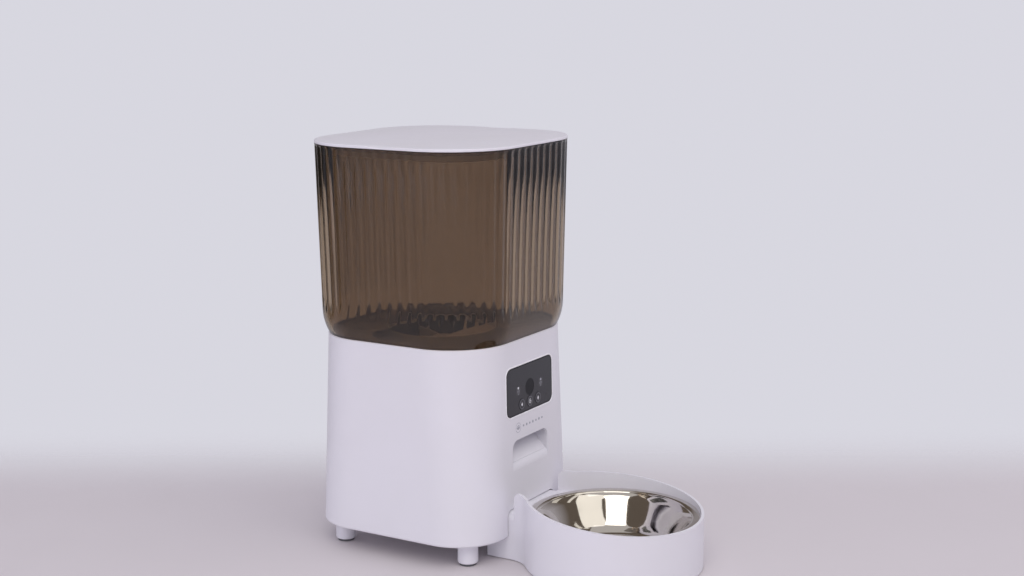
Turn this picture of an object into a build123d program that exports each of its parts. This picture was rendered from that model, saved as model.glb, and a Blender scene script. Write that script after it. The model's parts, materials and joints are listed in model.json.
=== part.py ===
from build123d import *
import math
import os

# Automatic pet feeder: a motor base, a lift-off hopper with a lid, and a pull-out bowl holder.
# Millimetres, +Z up, the front faces -Y, and the origin is the middle of the footprint.

os.makedirs("parts", exist_ok=True)

# ---------------------------------------------------------------- driving dimensions
WALL = 2.5
GAP = 0.3
RUNNING = 0.05

HOUSING_FOOT = (186.8, 182.4, 45.0)
HOUSING_HEAD = (182.8, 177.2, 54.0)
HOUSING_BOTTOM = 20.5
HOUSING_TOP = 193.5

RIM = (200.8, 194.6, 63.0)
RIM_Z = 362.0
HOPPER_DRAFT = 4.0
HOPPER_BOTTOM = 190.4
HOPPER_TUCK = 6.8
HOPPER_BELT = 14.0
HOPPER_BELLY = 45.0
HOPPER_ROUND = 4.0
THROAT_RADIUS = 50.0
LID_TOP = 366.0

HOLDER_RADIUS = 78.0
HOLDER_WALL = 2.5
HOLDER_REACH = 174.0
HOLDER_SLOPE = 0.105
HOLDER_MIDDLE_HEIGHT = 54.8
BOWL_RADIUS = 74.9
BOWL_RIM_Z = 44.8
NECK_HALF = 40.2
NECK_HEIGHT = 43.7
NECK_DEPTH = 22.0
NECK_GAP = 0.9
NECK_ROUND = 7.0

PANEL = (78.6, 42.8, 6.5)
PANEL_Z = 148.4
PANEL_THICK = 1.8
BUTTON_RADIUS = 5.0
BUTTON_PITCH = 14.0
BUTTON_Z = 135.0
BUTTON_PROUD = 0.4
CAMERA_RADIUS = 7.5
CAMERA_Z = 148.0
STATUS_X = 19.5
STATUS_SIZE = (6.0, 7.5)
BOARD_DEPTH = 8.0

OUTLET_HALF = 30.5
OUTLET_TOP = 104.5
OUTLET_SILL = 82.0
OUTLET_CORNER = 8.0
SILL_ROUND = 10.0

FOOT_X = 66.8
FOOT_Y = 65.7
FOOT_RADIUS = 9.0
PAD_THICK = 2.0

WELL_RADIUS = 54.0
WELL_FLOOR = 150.0
DECK_TOP = 190.0
ROTOR_VANES = 6

MODULE = 1.0
BORE_PIN = 1.5
GEARBOX_FLOOR = 126.5
GEARBOX_ROOF = 144.5
OUTPUT_TEETH = 44
WHEEL_TEETH = 36
PINION_TEETH = 12
MOTOR_TEETH = 10

CELL_RADIUS = 17.0
CELL_LENGTH = 58.0
CELL_PITCH = 35.0
CELL_Z = 42.0
BOX_HALF = 54.0
BOX_FRONT = 8.0
BOX_BACK = 80.0
BOX_TOP = 62.0
BOARD_Z = 68.0
PCB = 1.6

# ---------------------------------------------------------------- worked out
BODY_Y = (HOLDER_REACH + HOLDER_RADIUS - RIM[1] / 2) / 2
BOWL_Y = BODY_Y - HOLDER_REACH
LEAN = math.atan((HOUSING_FOOT[1] - HOUSING_HEAD[1]) / 2 / (HOUSING_TOP - HOUSING_BOTTOM))
BASE_TOP = HOUSING_BOTTOM + 3.0
WELL_UNDER = WELL_FLOOR - WALL


def front_y(height):
    """Y of the leaning front face at a height."""
    return BODY_Y - HOUSING_FOOT[1] / 2 + (height - HOUSING_BOTTOM) * math.tan(LEAN)


def body_plane(height):
    """A level plane centred on the motor base."""
    return Plane((0, BODY_Y, height))


def bowl_plane(height):
    """A level plane centred on the bowl."""
    return Plane((0, BOWL_Y, height))


def front_plane(depth):
    """A plane parallel to the front face, centred on the panel, at a depth behind the face."""
    face = Plane(
        origin=(0, front_y(PANEL_Z), PANEL_Z),
        x_dir=(1, 0, 0),
        z_dir=(0, -math.cos(LEAN), math.sin(LEAN)),
    )
    return face.offset(-depth)


def rounded(section, inset=0.0, mode=Mode.ADD):
    """Draws a rounded rectangle (width, depth, corner radius), drawn in by an inset."""
    RectangleRounded(section[0] - 2 * inset, section[1] - 2 * inset, section[2] - inset, mode=mode)


def outline(section, height, inset=0.0):
    """A sketch of the same outline on the body's level plane at a height."""
    with BuildSketch(body_plane(height)) as sketch:
        rounded(section, inset)
    return sketch.sketch


def save(piece, name):
    """Labels a finished piece and writes it under its node name."""
    piece.part.label = name
    export_step(piece.part, f"parts/{name}.step")


# ---------------------------------------------------------------- housing
PANEL_LEDGE = 1.6
WINDOW = (PANEL[0] - 2 * PANEL_LEDGE, PANEL[1] - 2 * PANEL_LEDGE, PANEL[2] - PANEL_LEDGE)
BEZEL_RIM = 2.5
BEZEL_DEPTH = 2.5
BOSS_X = 87.0
BOSS_Y = 30.0
BOSS_SPOTS = [(x, y) for x in (-BOSS_X, BOSS_X) for y in (-BOSS_Y, BOSS_Y)]
BOSS_RADIUS = 5.0
BOSS_TOP = 38.0
SCREW_RADIUS = 1.5
SCREW_HEAD = 2.8
SCREW_HEAD_HEIGHT = 2.0
SCREW_LENGTH = 12.0
SCREW_SUNK = 0.4
JACK_Z = 75.6
JACK_HOLE = 4.0
SPEAKER_Z = 118.0
GRILLE_HOLE = 1.2
GRILLE_RINGS = {6: 6.0, 12: 12.0}
DECK_SKIN = 2.5
LEDGE_TOP = DECK_TOP - DECK_SKIN
LEDGE_WIDTH = 7.0
LEDGE_THICK = 2.0
FOOT_ROUND = 2.0
HEAD_ROUND = 1.0
THROUGH = 20.0
SILL_TURN = math.radians(45)

with BuildPart() as housing:
    loft(sections=[outline(HOUSING_FOOT, HOUSING_BOTTOM), outline(HOUSING_HEAD, HOUSING_TOP)])
    fillet(housing.edges().group_by(Axis.Z)[0], radius=FOOT_ROUND)
    fillet(housing.edges().group_by(Axis.Z)[-1], radius=HEAD_ROUND)
    loft(
        sections=[
            outline(HOUSING_FOOT, HOUSING_BOTTOM, WALL),
            outline(HOUSING_HEAD, HOUSING_TOP, WALL),
        ],
        mode=Mode.SUBTRACT,
    )
    # Ledge that carries the deck.
    with BuildSketch(body_plane(LEDGE_TOP)):
        rounded(HOUSING_HEAD, WALL / 2)
        RectangleRounded(
            HOUSING_HEAD[0] - 2 * LEDGE_WIDTH,
            HOUSING_HEAD[1] - 2 * LEDGE_WIDTH,
            HOUSING_HEAD[2] - LEDGE_WIDTH,
            mode=Mode.SUBTRACT,
        )
    extrude(amount=-LEDGE_THICK)
    # Bezel frame behind the panel, its pocket and its window.
    with BuildSketch(front_plane(WALL - 0.5)):
        RectangleRounded(PANEL[0] + 2 * BEZEL_RIM, PANEL[1] + 2 * BEZEL_RIM, PANEL[2] + BEZEL_RIM)
    extrude(amount=-BEZEL_DEPTH)
    with BuildSketch(front_plane(PANEL_THICK)):
        RectangleRounded(PANEL[0] + 2 * GAP, PANEL[1] + 2 * GAP, PANEL[2] + GAP)
    extrude(amount=THROUGH, mode=Mode.SUBTRACT)
    with BuildSketch(front_plane(0)):
        RectangleRounded(*WINDOW)
    extrude(amount=-THROUGH, mode=Mode.SUBTRACT)
    # Outlet with round upper corners and a round sill that carries on the ramp.
    with BuildSketch(Plane.XZ.offset(-BODY_Y)):
        with BuildLine():
            Polyline(
                (-OUTLET_HALF, OUTLET_TOP - OUTLET_CORNER),
                (-OUTLET_HALF, OUTLET_SILL + WALL),
                (OUTLET_HALF, OUTLET_SILL + WALL),
                (OUTLET_HALF, OUTLET_TOP - OUTLET_CORNER),
            )
            RadiusArc(
                (OUTLET_HALF, OUTLET_TOP - OUTLET_CORNER),
                (OUTLET_HALF - OUTLET_CORNER, OUTLET_TOP),
                -OUTLET_CORNER,
            )
            Line((OUTLET_HALF - OUTLET_CORNER, OUTLET_TOP), (OUTLET_CORNER - OUTLET_HALF, OUTLET_TOP))
            RadiusArc(
                (OUTLET_CORNER - OUTLET_HALF, OUTLET_TOP),
                (-OUTLET_HALF, OUTLET_TOP - OUTLET_CORNER),
                -OUTLET_CORNER,
            )
        make_face()
    extrude(amount=HOUSING_FOOT[1], mode=Mode.SUBTRACT)
    sill_y = front_y(OUTLET_SILL) + SILL_ROUND
    sill_z = OUTLET_SILL - SILL_ROUND * math.tan(SILL_TURN / 2)
    with BuildSketch(Plane.YZ):
        with BuildLine():
            sill = CenterArc((sill_y, sill_z), SILL_ROUND, 180, -math.degrees(SILL_TURN))
            Polyline(
                sill @ 1,
                ((sill @ 1).X, OUTLET_TOP - OUTLET_CORNER),
                (sill_y - 2 * SILL_ROUND, OUTLET_TOP - OUTLET_CORNER),
                (sill_y - 2 * SILL_ROUND, sill_z),
                sill @ 0,
            )
        make_face()
    extrude(amount=OUTLET_HALF, both=True, mode=Mode.SUBTRACT)
    # Notch that takes the neck of the bowl holder.
    with BuildSketch(Plane.XZ.offset(-BODY_Y)):
        with Locations((0, NECK_HEIGHT + NECK_GAP)):
            Rectangle(2 * (NECK_HALF + NECK_GAP), NECK_HEIGHT, align=(Align.CENTER, Align.MAX))
        fillet(vertices().group_by(Axis.Y)[-1], radius=NECK_ROUND)
    extrude(amount=HOUSING_FOOT[1], mode=Mode.SUBTRACT)
    # Screw bosses on the side walls.
    with BuildSketch(body_plane(BASE_TOP)):
        with Locations(*BOSS_SPOTS):
            Circle(BOSS_RADIUS)
    extrude(amount=BOSS_TOP - BASE_TOP)
    with BuildSketch(body_plane(BASE_TOP)):
        with Locations(*BOSS_SPOTS):
            Circle(SCREW_RADIUS)
    extrude(amount=BOSS_TOP - BASE_TOP - WALL, mode=Mode.SUBTRACT)
    # Power-jack hole and speaker grille in the rear wall.
    with BuildSketch(Plane.XZ.offset(-BODY_Y - HOUSING_HEAD[1] / 2 + 8)):
        with Locations((0, JACK_Z)):
            Circle(JACK_HOLE)
        with Locations((0, SPEAKER_Z)):
            Circle(GRILLE_HOLE)
            for holes, ring in GRILLE_RINGS.items():
                with PolarLocations(ring, holes):
                    Circle(GRILLE_HOLE)
    extrude(amount=-THROUGH, mode=Mode.SUBTRACT)
save(housing, "housing")

# ---------------------------------------------------------------- base plate
DOCK_HALF = NECK_HALF + NECK_GAP
DOCK_TOP = NECK_HEIGHT + NECK_GAP
DOCK_BACK = -HOUSING_FOOT[1] / 2 + NECK_DEPTH + 1
DOCK_FRONT = -HOUSING_FOOT[1] / 2 + WALL + 0.5
DOCK_DEPTH = DOCK_BACK - DOCK_FRONT
DOCK_WALL = 2.0
PLATE_BOTTOM = HOUSING_BOTTOM + 0.2
DOOR = (102.0, 66.0, 2.0)
DOOR_ROUND = 4.0
BOX_MIDDLE = (BOX_FRONT + BOX_BACK) / 2
BOX_WALL = 2.0
STANDOFF_RADIUS = 3.5
STANDOFF_X = 45.0
STANDOFFS = [(x, y) for x in (-STANDOFF_X, STANDOFF_X) for y in (16.0, 70.0)]

with BuildPart() as base_plate:
    with BuildSketch(body_plane(PLATE_BOTTOM)):
        rounded(HOUSING_FOOT, WALL + GAP)
    extrude(amount=BASE_TOP - PLATE_BOTTOM)
    # Dock around the holder's neck.
    with BuildSketch(body_plane(PLATE_BOTTOM)):
        with Locations((0, DOCK_FRONT)):
            Rectangle(
                2 * (DOCK_HALF + DOCK_WALL), DOCK_DEPTH + DOCK_WALL, align=(Align.CENTER, Align.MIN)
            )
    extrude(amount=DOCK_TOP + DOCK_WALL - PLATE_BOTTOM)
    with BuildSketch(body_plane(0)):
        with Locations((0, DOCK_FRONT - THROUGH)):
            Rectangle(2 * DOCK_HALF, DOCK_DEPTH + THROUGH, align=(Align.CENTER, Align.MIN))
    extrude(amount=DOCK_TOP, mode=Mode.SUBTRACT)
    # Battery box with its opening for the door.
    with BuildSketch(body_plane(BASE_TOP)):
        with Locations((0, BOX_MIDDLE)):
            Rectangle(2 * (BOX_HALF + BOX_WALL), BOX_BACK - BOX_FRONT + 2 * BOX_WALL)
            Rectangle(2 * BOX_HALF, BOX_BACK - BOX_FRONT, mode=Mode.SUBTRACT)
    extrude(amount=BOX_TOP - BASE_TOP)
    with BuildSketch(body_plane(BOX_TOP - BOX_WALL)):
        with Locations((0, BOX_MIDDLE)):
            Rectangle(2 * (BOX_HALF + BOX_WALL), BOX_BACK - BOX_FRONT + 2 * BOX_WALL)
    extrude(amount=BOX_WALL)
    with BuildSketch(body_plane(HOUSING_BOTTOM)):
        with Locations((0, BOX_MIDDLE)):
            RectangleRounded(DOOR[0] + 2 * GAP, DOOR[1] + 2 * GAP, DOOR_ROUND)
    extrude(amount=BASE_TOP - HOUSING_BOTTOM, mode=Mode.SUBTRACT)
    # Board standoffs.
    with BuildSketch(body_plane(BOX_TOP)):
        with Locations(*STANDOFFS):
            Circle(STANDOFF_RADIUS)
            Circle(SCREW_RADIUS, mode=Mode.SUBTRACT)
    extrude(amount=BOARD_Z - BOX_TOP)
    # Screw holes and head recesses.
    with Locations(*[body_plane(0).location * Location((x, y, HOUSING_BOTTOM)) for x, y in BOSS_SPOTS]):
        Cylinder(SCREW_RADIUS, THROUGH, mode=Mode.SUBTRACT)
        Cylinder(SCREW_HEAD, 2 * SCREW_HEAD_HEIGHT, mode=Mode.SUBTRACT)
save(base_plate, "base_plate")

# ---------------------------------------------------------------- feet
PAD_INSET = 1.6
PAD_BEVEL = 0.5
FEET = {
    "front_left": (-FOOT_X, -FOOT_Y),
    "front_right": (FOOT_X, -FOOT_Y),
    "rear_left": (-FOOT_X, FOOT_Y),
    "rear_right": (FOOT_X, FOOT_Y),
}
for corner, spot in FEET.items():
    with BuildPart() as foot:
        with BuildSketch(body_plane(PAD_THICK)):
            with Locations(spot):
                Circle(FOOT_RADIUS)
        extrude(amount=PLATE_BOTTOM - PAD_THICK)
        fillet(foot.edges().group_by(Axis.Z)[0], radius=PAD_INSET - 0.1)
    save(foot, f"{corner}_foot")
    with BuildPart() as pad:
        with BuildSketch(body_plane(0)):
            with Locations(spot):
                Circle(FOOT_RADIUS - PAD_INSET)
        extrude(amount=PAD_THICK)
        chamfer(pad.edges().group_by(Axis.Z)[0], length=PAD_BEVEL)
    save(pad, f"{corner}_foot_pad")

# ---------------------------------------------------------------- battery door and cells
DOOR_GRIP = (22.0, 7.0, 0.8)
DOOR_GRIP_Y = BOX_FRONT + 14.0
CELL_TIP = (5.0, 1.6)
CONTACT_THICK = 0.8
CONTACT_HEIGHT = 16.0
SPRING_RADIUS = 6.0
SPRING_WIRE = 1.2

with BuildPart() as battery_door:
    with BuildSketch(body_plane(PLATE_BOTTOM)):
        with Locations((0, BOX_MIDDLE)):
            RectangleRounded(DOOR[0], DOOR[1], DOOR_ROUND - GAP)
    extrude(amount=DOOR[2])
    with BuildSketch(body_plane(PLATE_BOTTOM)):
        with Locations((0, DOOR_GRIP_Y)):
            SlotOverall(*DOOR_GRIP[:2])
    extrude(amount=DOOR_GRIP[2], mode=Mode.SUBTRACT)
save(battery_door, "battery_door")

CELL_FRONT = BOX_MIDDLE - CELL_LENGTH / 2
for index in range(3):
    with BuildPart() as cell:
        with BuildSketch(Plane((0, BODY_Y + CELL_FRONT, 0), x_dir=(1, 0, 0), z_dir=(0, 1, 0))):
            with Locations(((index - 1) * CELL_PITCH, -CELL_Z)):
                Circle(CELL_RADIUS)
        extrude(amount=CELL_LENGTH)
        with BuildSketch(
            Plane((0, BODY_Y + CELL_FRONT + CELL_LENGTH, 0), x_dir=(1, 0, 0), z_dir=(0, 1, 0))
        ):
            with Locations(((index - 1) * CELL_PITCH, -CELL_Z)):
                Circle(CELL_TIP[0])
        extrude(amount=CELL_TIP[1])
    save(cell, f"battery_{index + 1}")

with BuildPart() as battery_contacts:
    with BuildSketch(body_plane(CELL_Z - CONTACT_HEIGHT / 2)):
        with Locations((0, BOX_FRONT + CONTACT_THICK / 2), (0, BOX_BACK - CONTACT_THICK / 2)):
            Rectangle(2 * CELL_PITCH + 20, CONTACT_THICK)
    extrude(amount=CONTACT_HEIGHT)
    spring_y = BODY_Y + BOX_FRONT + CONTACT_THICK
    with BuildSketch(Plane((0, spring_y, 0), x_dir=(1, 0, 0), z_dir=(0, 1, 0))):
        with GridLocations(CELL_PITCH, 1, 3, 1):
            with Locations((0, -CELL_Z)):
                Circle(SPRING_RADIUS)
                Circle(SPRING_RADIUS - SPRING_WIRE, mode=Mode.SUBTRACT)
    extrude(amount=CELL_FRONT - BOX_FRONT - CONTACT_THICK)
save(battery_contacts, "battery_contacts")

# ---------------------------------------------------------------- boards
MAIN_BOARD = (100.0, 64.0)
BOARD_MIDDLE = 43.0
# Board parts: size and the places where each stands.
CHIPS = {
    (18.0, 26.0, 3.0): [(-24, 30)],
    (14.0, 14.0, 1.5): [(26, 30)],
    (12.0, 6.0, 7.0): [(-30, 62), (6, 16)],
}
CAPACITOR = (4.0, 11.0)
CAPACITOR_SPOTS = [(22, 58), (34, 58)]
STANDING = (Align.CENTER, Align.CENTER, Align.MIN)

with BuildPart() as main_board:
    with BuildSketch(body_plane(BOARD_Z)):
        with Locations((0, BOARD_MIDDLE)):
            Rectangle(*MAIN_BOARD)
        with Locations(*STANDOFFS):
            Circle(SCREW_RADIUS, mode=Mode.SUBTRACT)
    extrude(amount=PCB)
save(main_board, "main_board")

with BuildPart() as board_parts:
    with Locations(body_plane(BOARD_Z + PCB)):
        for size, spots in CHIPS.items():
            with Locations(*spots):
                Box(*size, align=STANDING)
        with Locations(*CAPACITOR_SPOTS):
            Cylinder(*CAPACITOR, align=STANDING)
save(board_parts, "board_parts")

with BuildPart() as board_screws:
    with BuildSketch(body_plane(BOX_TOP + 1)):
        with Locations(*STANDOFFS):
            Circle(SCREW_RADIUS)
    extrude(amount=BOARD_Z + PCB - BOX_TOP - 1)
    with BuildSketch(body_plane(BOARD_Z + PCB)):
        with Locations(*STANDOFFS):
            Circle(SCREW_HEAD)
    extrude(amount=SCREW_HEAD_HEIGHT)
save(board_screws, "board_screws")

REAR_INSIDE = HOUSING_FOOT[1] / 2 - (JACK_Z - HOUSING_BOTTOM) * math.tan(LEAN) - WALL - 0.15
JACK_LENGTH = 13.0
JACK_WIDTH = 9.0
JACK_BORE = 2.75
JACK_PIN = 1.0
JACK_DEPTH = 9.5
JACK_BODY_TOP = 2 * JACK_Z - BOARD_Z - PCB
JACK_BACK = Plane((0, BODY_Y + REAR_INSIDE, JACK_Z), x_dir=(-1, 0, 0), z_dir=(0, 1, 0))

with BuildPart() as dc_jack:
    with BuildSketch(body_plane(BOARD_Z + PCB)):
        with Locations((0, REAR_INSIDE)):
            Rectangle(JACK_WIDTH, JACK_LENGTH, align=(Align.CENTER, Align.MAX))
    extrude(amount=JACK_BODY_TOP - BOARD_Z - PCB)
    with BuildSketch(JACK_BACK):
        Circle(JACK_BORE)
    extrude(amount=-JACK_DEPTH, mode=Mode.SUBTRACT)
save(dc_jack, "dc_jack")

with BuildPart() as dc_jack_pin:
    with BuildSketch(JACK_BACK.offset(-JACK_DEPTH)):
        Circle(JACK_PIN)
    extrude(amount=JACK_DEPTH - 1.0)
save(dc_jack_pin, "dc_jack_pin")

SPEAKER_RIM = (18.0, 3.0)
SPEAKER_MAGNET = (11.0, 6.0)
SPEAKER_INSIDE = REAR_INSIDE - (SPEAKER_Z + SPEAKER_RIM[0] + 1 - JACK_Z) * math.tan(LEAN)
SPEAKER_FACE = Plane((0, BODY_Y + SPEAKER_INSIDE, SPEAKER_Z), x_dir=(-1, 0, 0), z_dir=(0, 1, 0))
with BuildPart() as speaker:
    with BuildSketch(SPEAKER_FACE):
        Circle(SPEAKER_RIM[0])
    extrude(amount=-SPEAKER_RIM[1])
    with BuildSketch(SPEAKER_FACE.offset(-SPEAKER_RIM[1])):
        Circle(SPEAKER_MAGNET[0])
    extrude(amount=-SPEAKER_MAGNET[1])
save(speaker, "speaker")

# ---------------------------------------------------------------- deck with the rotor well
PORT = (48.0, -46.0, -27.5)
PORT_MIDDLE = (PORT[1] + PORT[2]) / 2
PORT_DEPTH = PORT[2] - PORT[1]
SHAFT_RADIUS = 4.0

with BuildPart() as deck:
    with BuildSketch(body_plane(LEDGE_TOP)):
        rounded(HOUSING_HEAD, WALL + GAP)
    extrude(amount=DECK_TOP - LEDGE_TOP)
    with BuildSketch(body_plane(WELL_UNDER)):
        Circle(WELL_RADIUS + WALL)
    extrude(amount=DECK_TOP - WELL_UNDER)
    with BuildSketch(body_plane(WELL_FLOOR)):
        Circle(WELL_RADIUS)
    extrude(amount=DECK_TOP - WELL_FLOOR, mode=Mode.SUBTRACT)
    with BuildSketch(body_plane(WELL_UNDER)):
        with Locations((0, PORT_MIDDLE - 1)):
            Rectangle(2 * OUTLET_HALF + 5, PORT_DEPTH + 5)
    extrude(amount=WALL)
    with BuildSketch(body_plane(WELL_UNDER)):
        with Locations((0, PORT_MIDDLE)):
            Rectangle(PORT[0], PORT_DEPTH)
        Circle(SHAFT_RADIUS + GAP)
    extrude(amount=WALL, mode=Mode.SUBTRACT)
save(deck, "deck")

# ---------------------------------------------------------------- chute
CHUTE_WALL = 2.0
CHUTE_GAP = 0.2
CHUTE_FRONT = front_y(OUTLET_SILL) - BODY_Y + WALL + CHUTE_GAP
RAMP = (WELL_UNDER - OUTLET_SILL) / (PORT[2] - (front_y(OUTLET_SILL) - BODY_Y))


def ramp_z(y):
    """Height of the chute's ramp at a distance from the body's middle."""
    return WELL_UNDER + RAMP * (y - PORT[2])


RAMP_DROP = CHUTE_WALL * math.sqrt(1 + RAMP**2)
CHUTE_TOP = OUTLET_TOP + RAMP_DROP
CHUTE_LEAN = (CHUTE_TOP - OUTLET_SILL) * math.tan(LEAN)
with BuildPart() as chute:
    with BuildSketch(Plane.YZ.offset(-OUTLET_HALF - CHUTE_WALL)):
        with Locations((BODY_Y, 0)):
            Polygon(
                (PORT[2] + 2, WELL_UNDER),
                (PORT[1] - 2, WELL_UNDER),
                (CHUTE_FRONT + CHUTE_LEAN, CHUTE_TOP),
                (CHUTE_FRONT, ramp_z(CHUTE_FRONT) - RAMP_DROP),
                (PORT[2] + 2, ramp_z(PORT[2] + 2) - RAMP_DROP),
                align=None,
            )
    extrude(amount=2 * (OUTLET_HALF + CHUTE_WALL))
    with BuildSketch(Plane.YZ.offset(-OUTLET_HALF)):
        with Locations((BODY_Y, 0)):
            Polygon(
                (PORT[2], WELL_UNDER),
                (PORT[1], WELL_UNDER),
                (CHUTE_FRONT, OUTLET_TOP),
                (CHUTE_FRONT, ramp_z(CHUTE_FRONT)),
                align=None,
            )
    extrude(amount=2 * OUTLET_HALF, mode=Mode.SUBTRACT)
save(chute, "chute")

# ---------------------------------------------------------------- rotor, guard and wiper
HUB_RADIUS = 12.0
HUB_ROUND = 0.6
VANE_THICK = 2.4
VANE_LENGTH = WELL_RADIUS - 0.8
ROTOR_BOTTOM = WELL_FLOOR + 0.5
VANE_TOP = 181.0
SHAFT_TOP = 166.0
with BuildPart() as rotor:
    with BuildSketch(body_plane(ROTOR_BOTTOM)):
        Circle(HUB_RADIUS)
        with PolarLocations(VANE_LENGTH / 2, ROTOR_VANES):
            Rectangle(VANE_LENGTH, VANE_THICK)
    extrude(amount=VANE_TOP - ROTOR_BOTTOM)
    with BuildSketch(body_plane(ROTOR_BOTTOM)):
        Circle(SHAFT_RADIUS)
    extrude(amount=SHAFT_TOP - ROTOR_BOTTOM, mode=Mode.SUBTRACT)
    fillet(rotor.faces().sort_by(Axis.Z)[-1].edges().filter_by(GeomType.CIRCLE), radius=HUB_ROUND)
save(rotor, "rotor")

GUARD_Z = 183.5
GUARD_THICK = 2.5
WIPER = (96.0, 5.0)
with BuildPart() as portion_guard:
    with BuildSketch(body_plane(GUARD_Z)):
        Circle(WELL_RADIUS)
        with Locations((0, -PORT[0] / 4 + WELL_RADIUS)):
            Rectangle(2 * WELL_RADIUS + 2, 2 * WELL_RADIUS, mode=Mode.SUBTRACT)
    extrude(amount=GUARD_THICK)
save(portion_guard, "portion_guard")

with BuildPart() as rotor_wiper:
    with BuildSketch(body_plane(VANE_TOP + 0.5)):
        with Locations((0, -PORT[0] / 4 - 3)):
            Rectangle(*WIPER)
    extrude(amount=GUARD_Z - VANE_TOP - 0.5)
save(rotor_wiper, "rotor_wiper")

# ---------------------------------------------------------------- gear train
TOOTH_ROOT = 0.95
TOOTH_TIP = 0.34
ADDENDUM = 0.85
DEDENDUM = 1.25
GEAR_2_SPOT = (0.0, MODULE * (OUTPUT_TEETH + PINION_TEETH) / 2)
WHEEL_REACH = MODULE * (WHEEL_TEETH + PINION_TEETH) / 2 * math.sqrt(0.5)
GEAR_1_SPOT = (GEAR_2_SPOT[0] + WHEEL_REACH, GEAR_2_SPOT[1] + WHEEL_REACH)
MOTOR_SPOT = (GEAR_1_SPOT[0] - MODULE * (WHEEL_TEETH + MOTOR_TEETH) / 2, GEAR_1_SPOT[1])


def gear_face(spot, teeth, phase, height):
    """A spur gear's outline at a spot and height, with a tooth at the phase angle."""
    pitch = MODULE * teeth / 2
    root = pitch - DEDENDUM
    tip = pitch + ADDENDUM
    with BuildSketch(body_plane(height)) as sketch:
        with Locations(spot):
            Circle(root)
            with PolarLocations(0, teeth, start_angle=phase):
                Polygon(
                    (root - 0.4, -TOOTH_ROOT),
                    (tip, -TOOTH_TIP),
                    (tip, TOOTH_TIP),
                    (root - 0.4, TOOTH_ROOT),
                    align=None,
                )
    return sketch.sketch


def disc(spot, radius, height):
    """A round face at a spot and height."""
    with BuildSketch(body_plane(height)) as sketch:
        with Locations(spot):
            Circle(radius)
    return sketch.sketch


WHEEL_1 = (128.0, 132.0)
PINION_1 = (132.0, 138.0)
WHEEL_2 = (133.0, 137.0)
PINION_2 = (137.0, 143.8)
OUTPUT = (138.5, 143.0)
HALF_TOOTH = 15.0

with BuildPart() as output_gear:
    extrude(gear_face((0, 0), OUTPUT_TEETH, 0, OUTPUT[0]), amount=OUTPUT[1] - OUTPUT[0])
    shaft_foot = GEARBOX_FLOOR + 0.5
    extrude(disc((0, 0), SHAFT_RADIUS, shaft_foot), amount=SHAFT_TOP - shaft_foot)
save(output_gear, "output_gear")

with BuildPart() as gear_2:
    extrude(gear_face(GEAR_2_SPOT, WHEEL_TEETH, 0, WHEEL_2[0]), amount=WHEEL_2[1] - WHEEL_2[0])
    extrude(
        gear_face(GEAR_2_SPOT, PINION_TEETH, HALF_TOOTH, PINION_2[0]),
        amount=PINION_2[1] - PINION_2[0],
    )
    extrude(
        disc(GEAR_2_SPOT, BORE_PIN + RUNNING, WHEEL_2[0]),
        amount=PINION_2[1] - WHEEL_2[0],
        mode=Mode.SUBTRACT,
    )
save(gear_2, "gear_2")

with BuildPart() as gear_1:
    extrude(gear_face(GEAR_1_SPOT, WHEEL_TEETH, 0, WHEEL_1[0]), amount=WHEEL_1[1] - WHEEL_1[0])
    extrude(
        gear_face(GEAR_1_SPOT, PINION_TEETH, HALF_TOOTH, PINION_1[0]),
        amount=PINION_1[1] - PINION_1[0],
    )
    extrude(
        disc(GEAR_1_SPOT, BORE_PIN + RUNNING, WHEEL_1[0]),
        amount=PINION_1[1] - WHEEL_1[0],
        mode=Mode.SUBTRACT,
    )
save(gear_1, "gear_1")

MOTOR_TOP = GEARBOX_FLOOR - WALL
MOTOR_LENGTH = 30.0
MOTOR_RADIUS = 12.0
MOTOR_ROUND = 1.5
MOTOR_SHAFT = 1.0
SHAFT_DEPTH = 8.0
with BuildPart() as motor_pinion:
    extrude(
        gear_face(MOTOR_SPOT, MOTOR_TEETH, 180 / MOTOR_TEETH, WHEEL_1[0] - 0.4),
        amount=WHEEL_1[1] - WHEEL_1[0] + 0.7,
    )
    with BuildSketch(body_plane(MOTOR_TOP - SHAFT_DEPTH)):
        with Locations(MOTOR_SPOT):
            Circle(MOTOR_SHAFT)
    extrude(amount=WHEEL_1[0] - MOTOR_TOP + SHAFT_DEPTH)
save(motor_pinion, "motor_pinion")

with BuildPart() as gear_pins:
    with BuildSketch(body_plane(GEARBOX_FLOOR)):
        with Locations(GEAR_1_SPOT, GEAR_2_SPOT):
            Circle(BORE_PIN)
    extrude(amount=GEARBOX_ROOF - GEARBOX_FLOOR)
save(gear_pins, "gear_pins")

with BuildPart() as motor:
    with BuildSketch(body_plane(MOTOR_TOP)):
        with Locations(MOTOR_SPOT):
            Circle(MOTOR_RADIUS)
    extrude(amount=-MOTOR_LENGTH)
    fillet(motor.edges().group_by(Axis.Z)[0], radius=MOTOR_ROUND)
    with BuildSketch(body_plane(MOTOR_TOP)):
        with Locations(MOTOR_SPOT):
            Circle(MOTOR_SHAFT + RUNNING)
    extrude(amount=-SHAFT_DEPTH - 2, mode=Mode.SUBTRACT)
save(motor, "motor")

# ---------------------------------------------------------------- gearbox
GEARBOX = (-26.0, 40.0, -24.6, 68.0)
GEARBOX_SIZE = (GEARBOX[1] - GEARBOX[0], GEARBOX[3] - GEARBOX[2])
GEARBOX_SPOT = ((GEARBOX[0] + GEARBOX[1]) / 2, (GEARBOX[2] + GEARBOX[3]) / 2)
POST_INSET = 4.0
POST_RADIUS = 3.6
POSTS = [
    (x, y)
    for x in (GEARBOX[0] + POST_INSET, GEARBOX[1] - POST_INSET)
    for y in (GEARBOX[2] + POST_INSET, GEARBOX[3] - POST_INSET)
]

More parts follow.
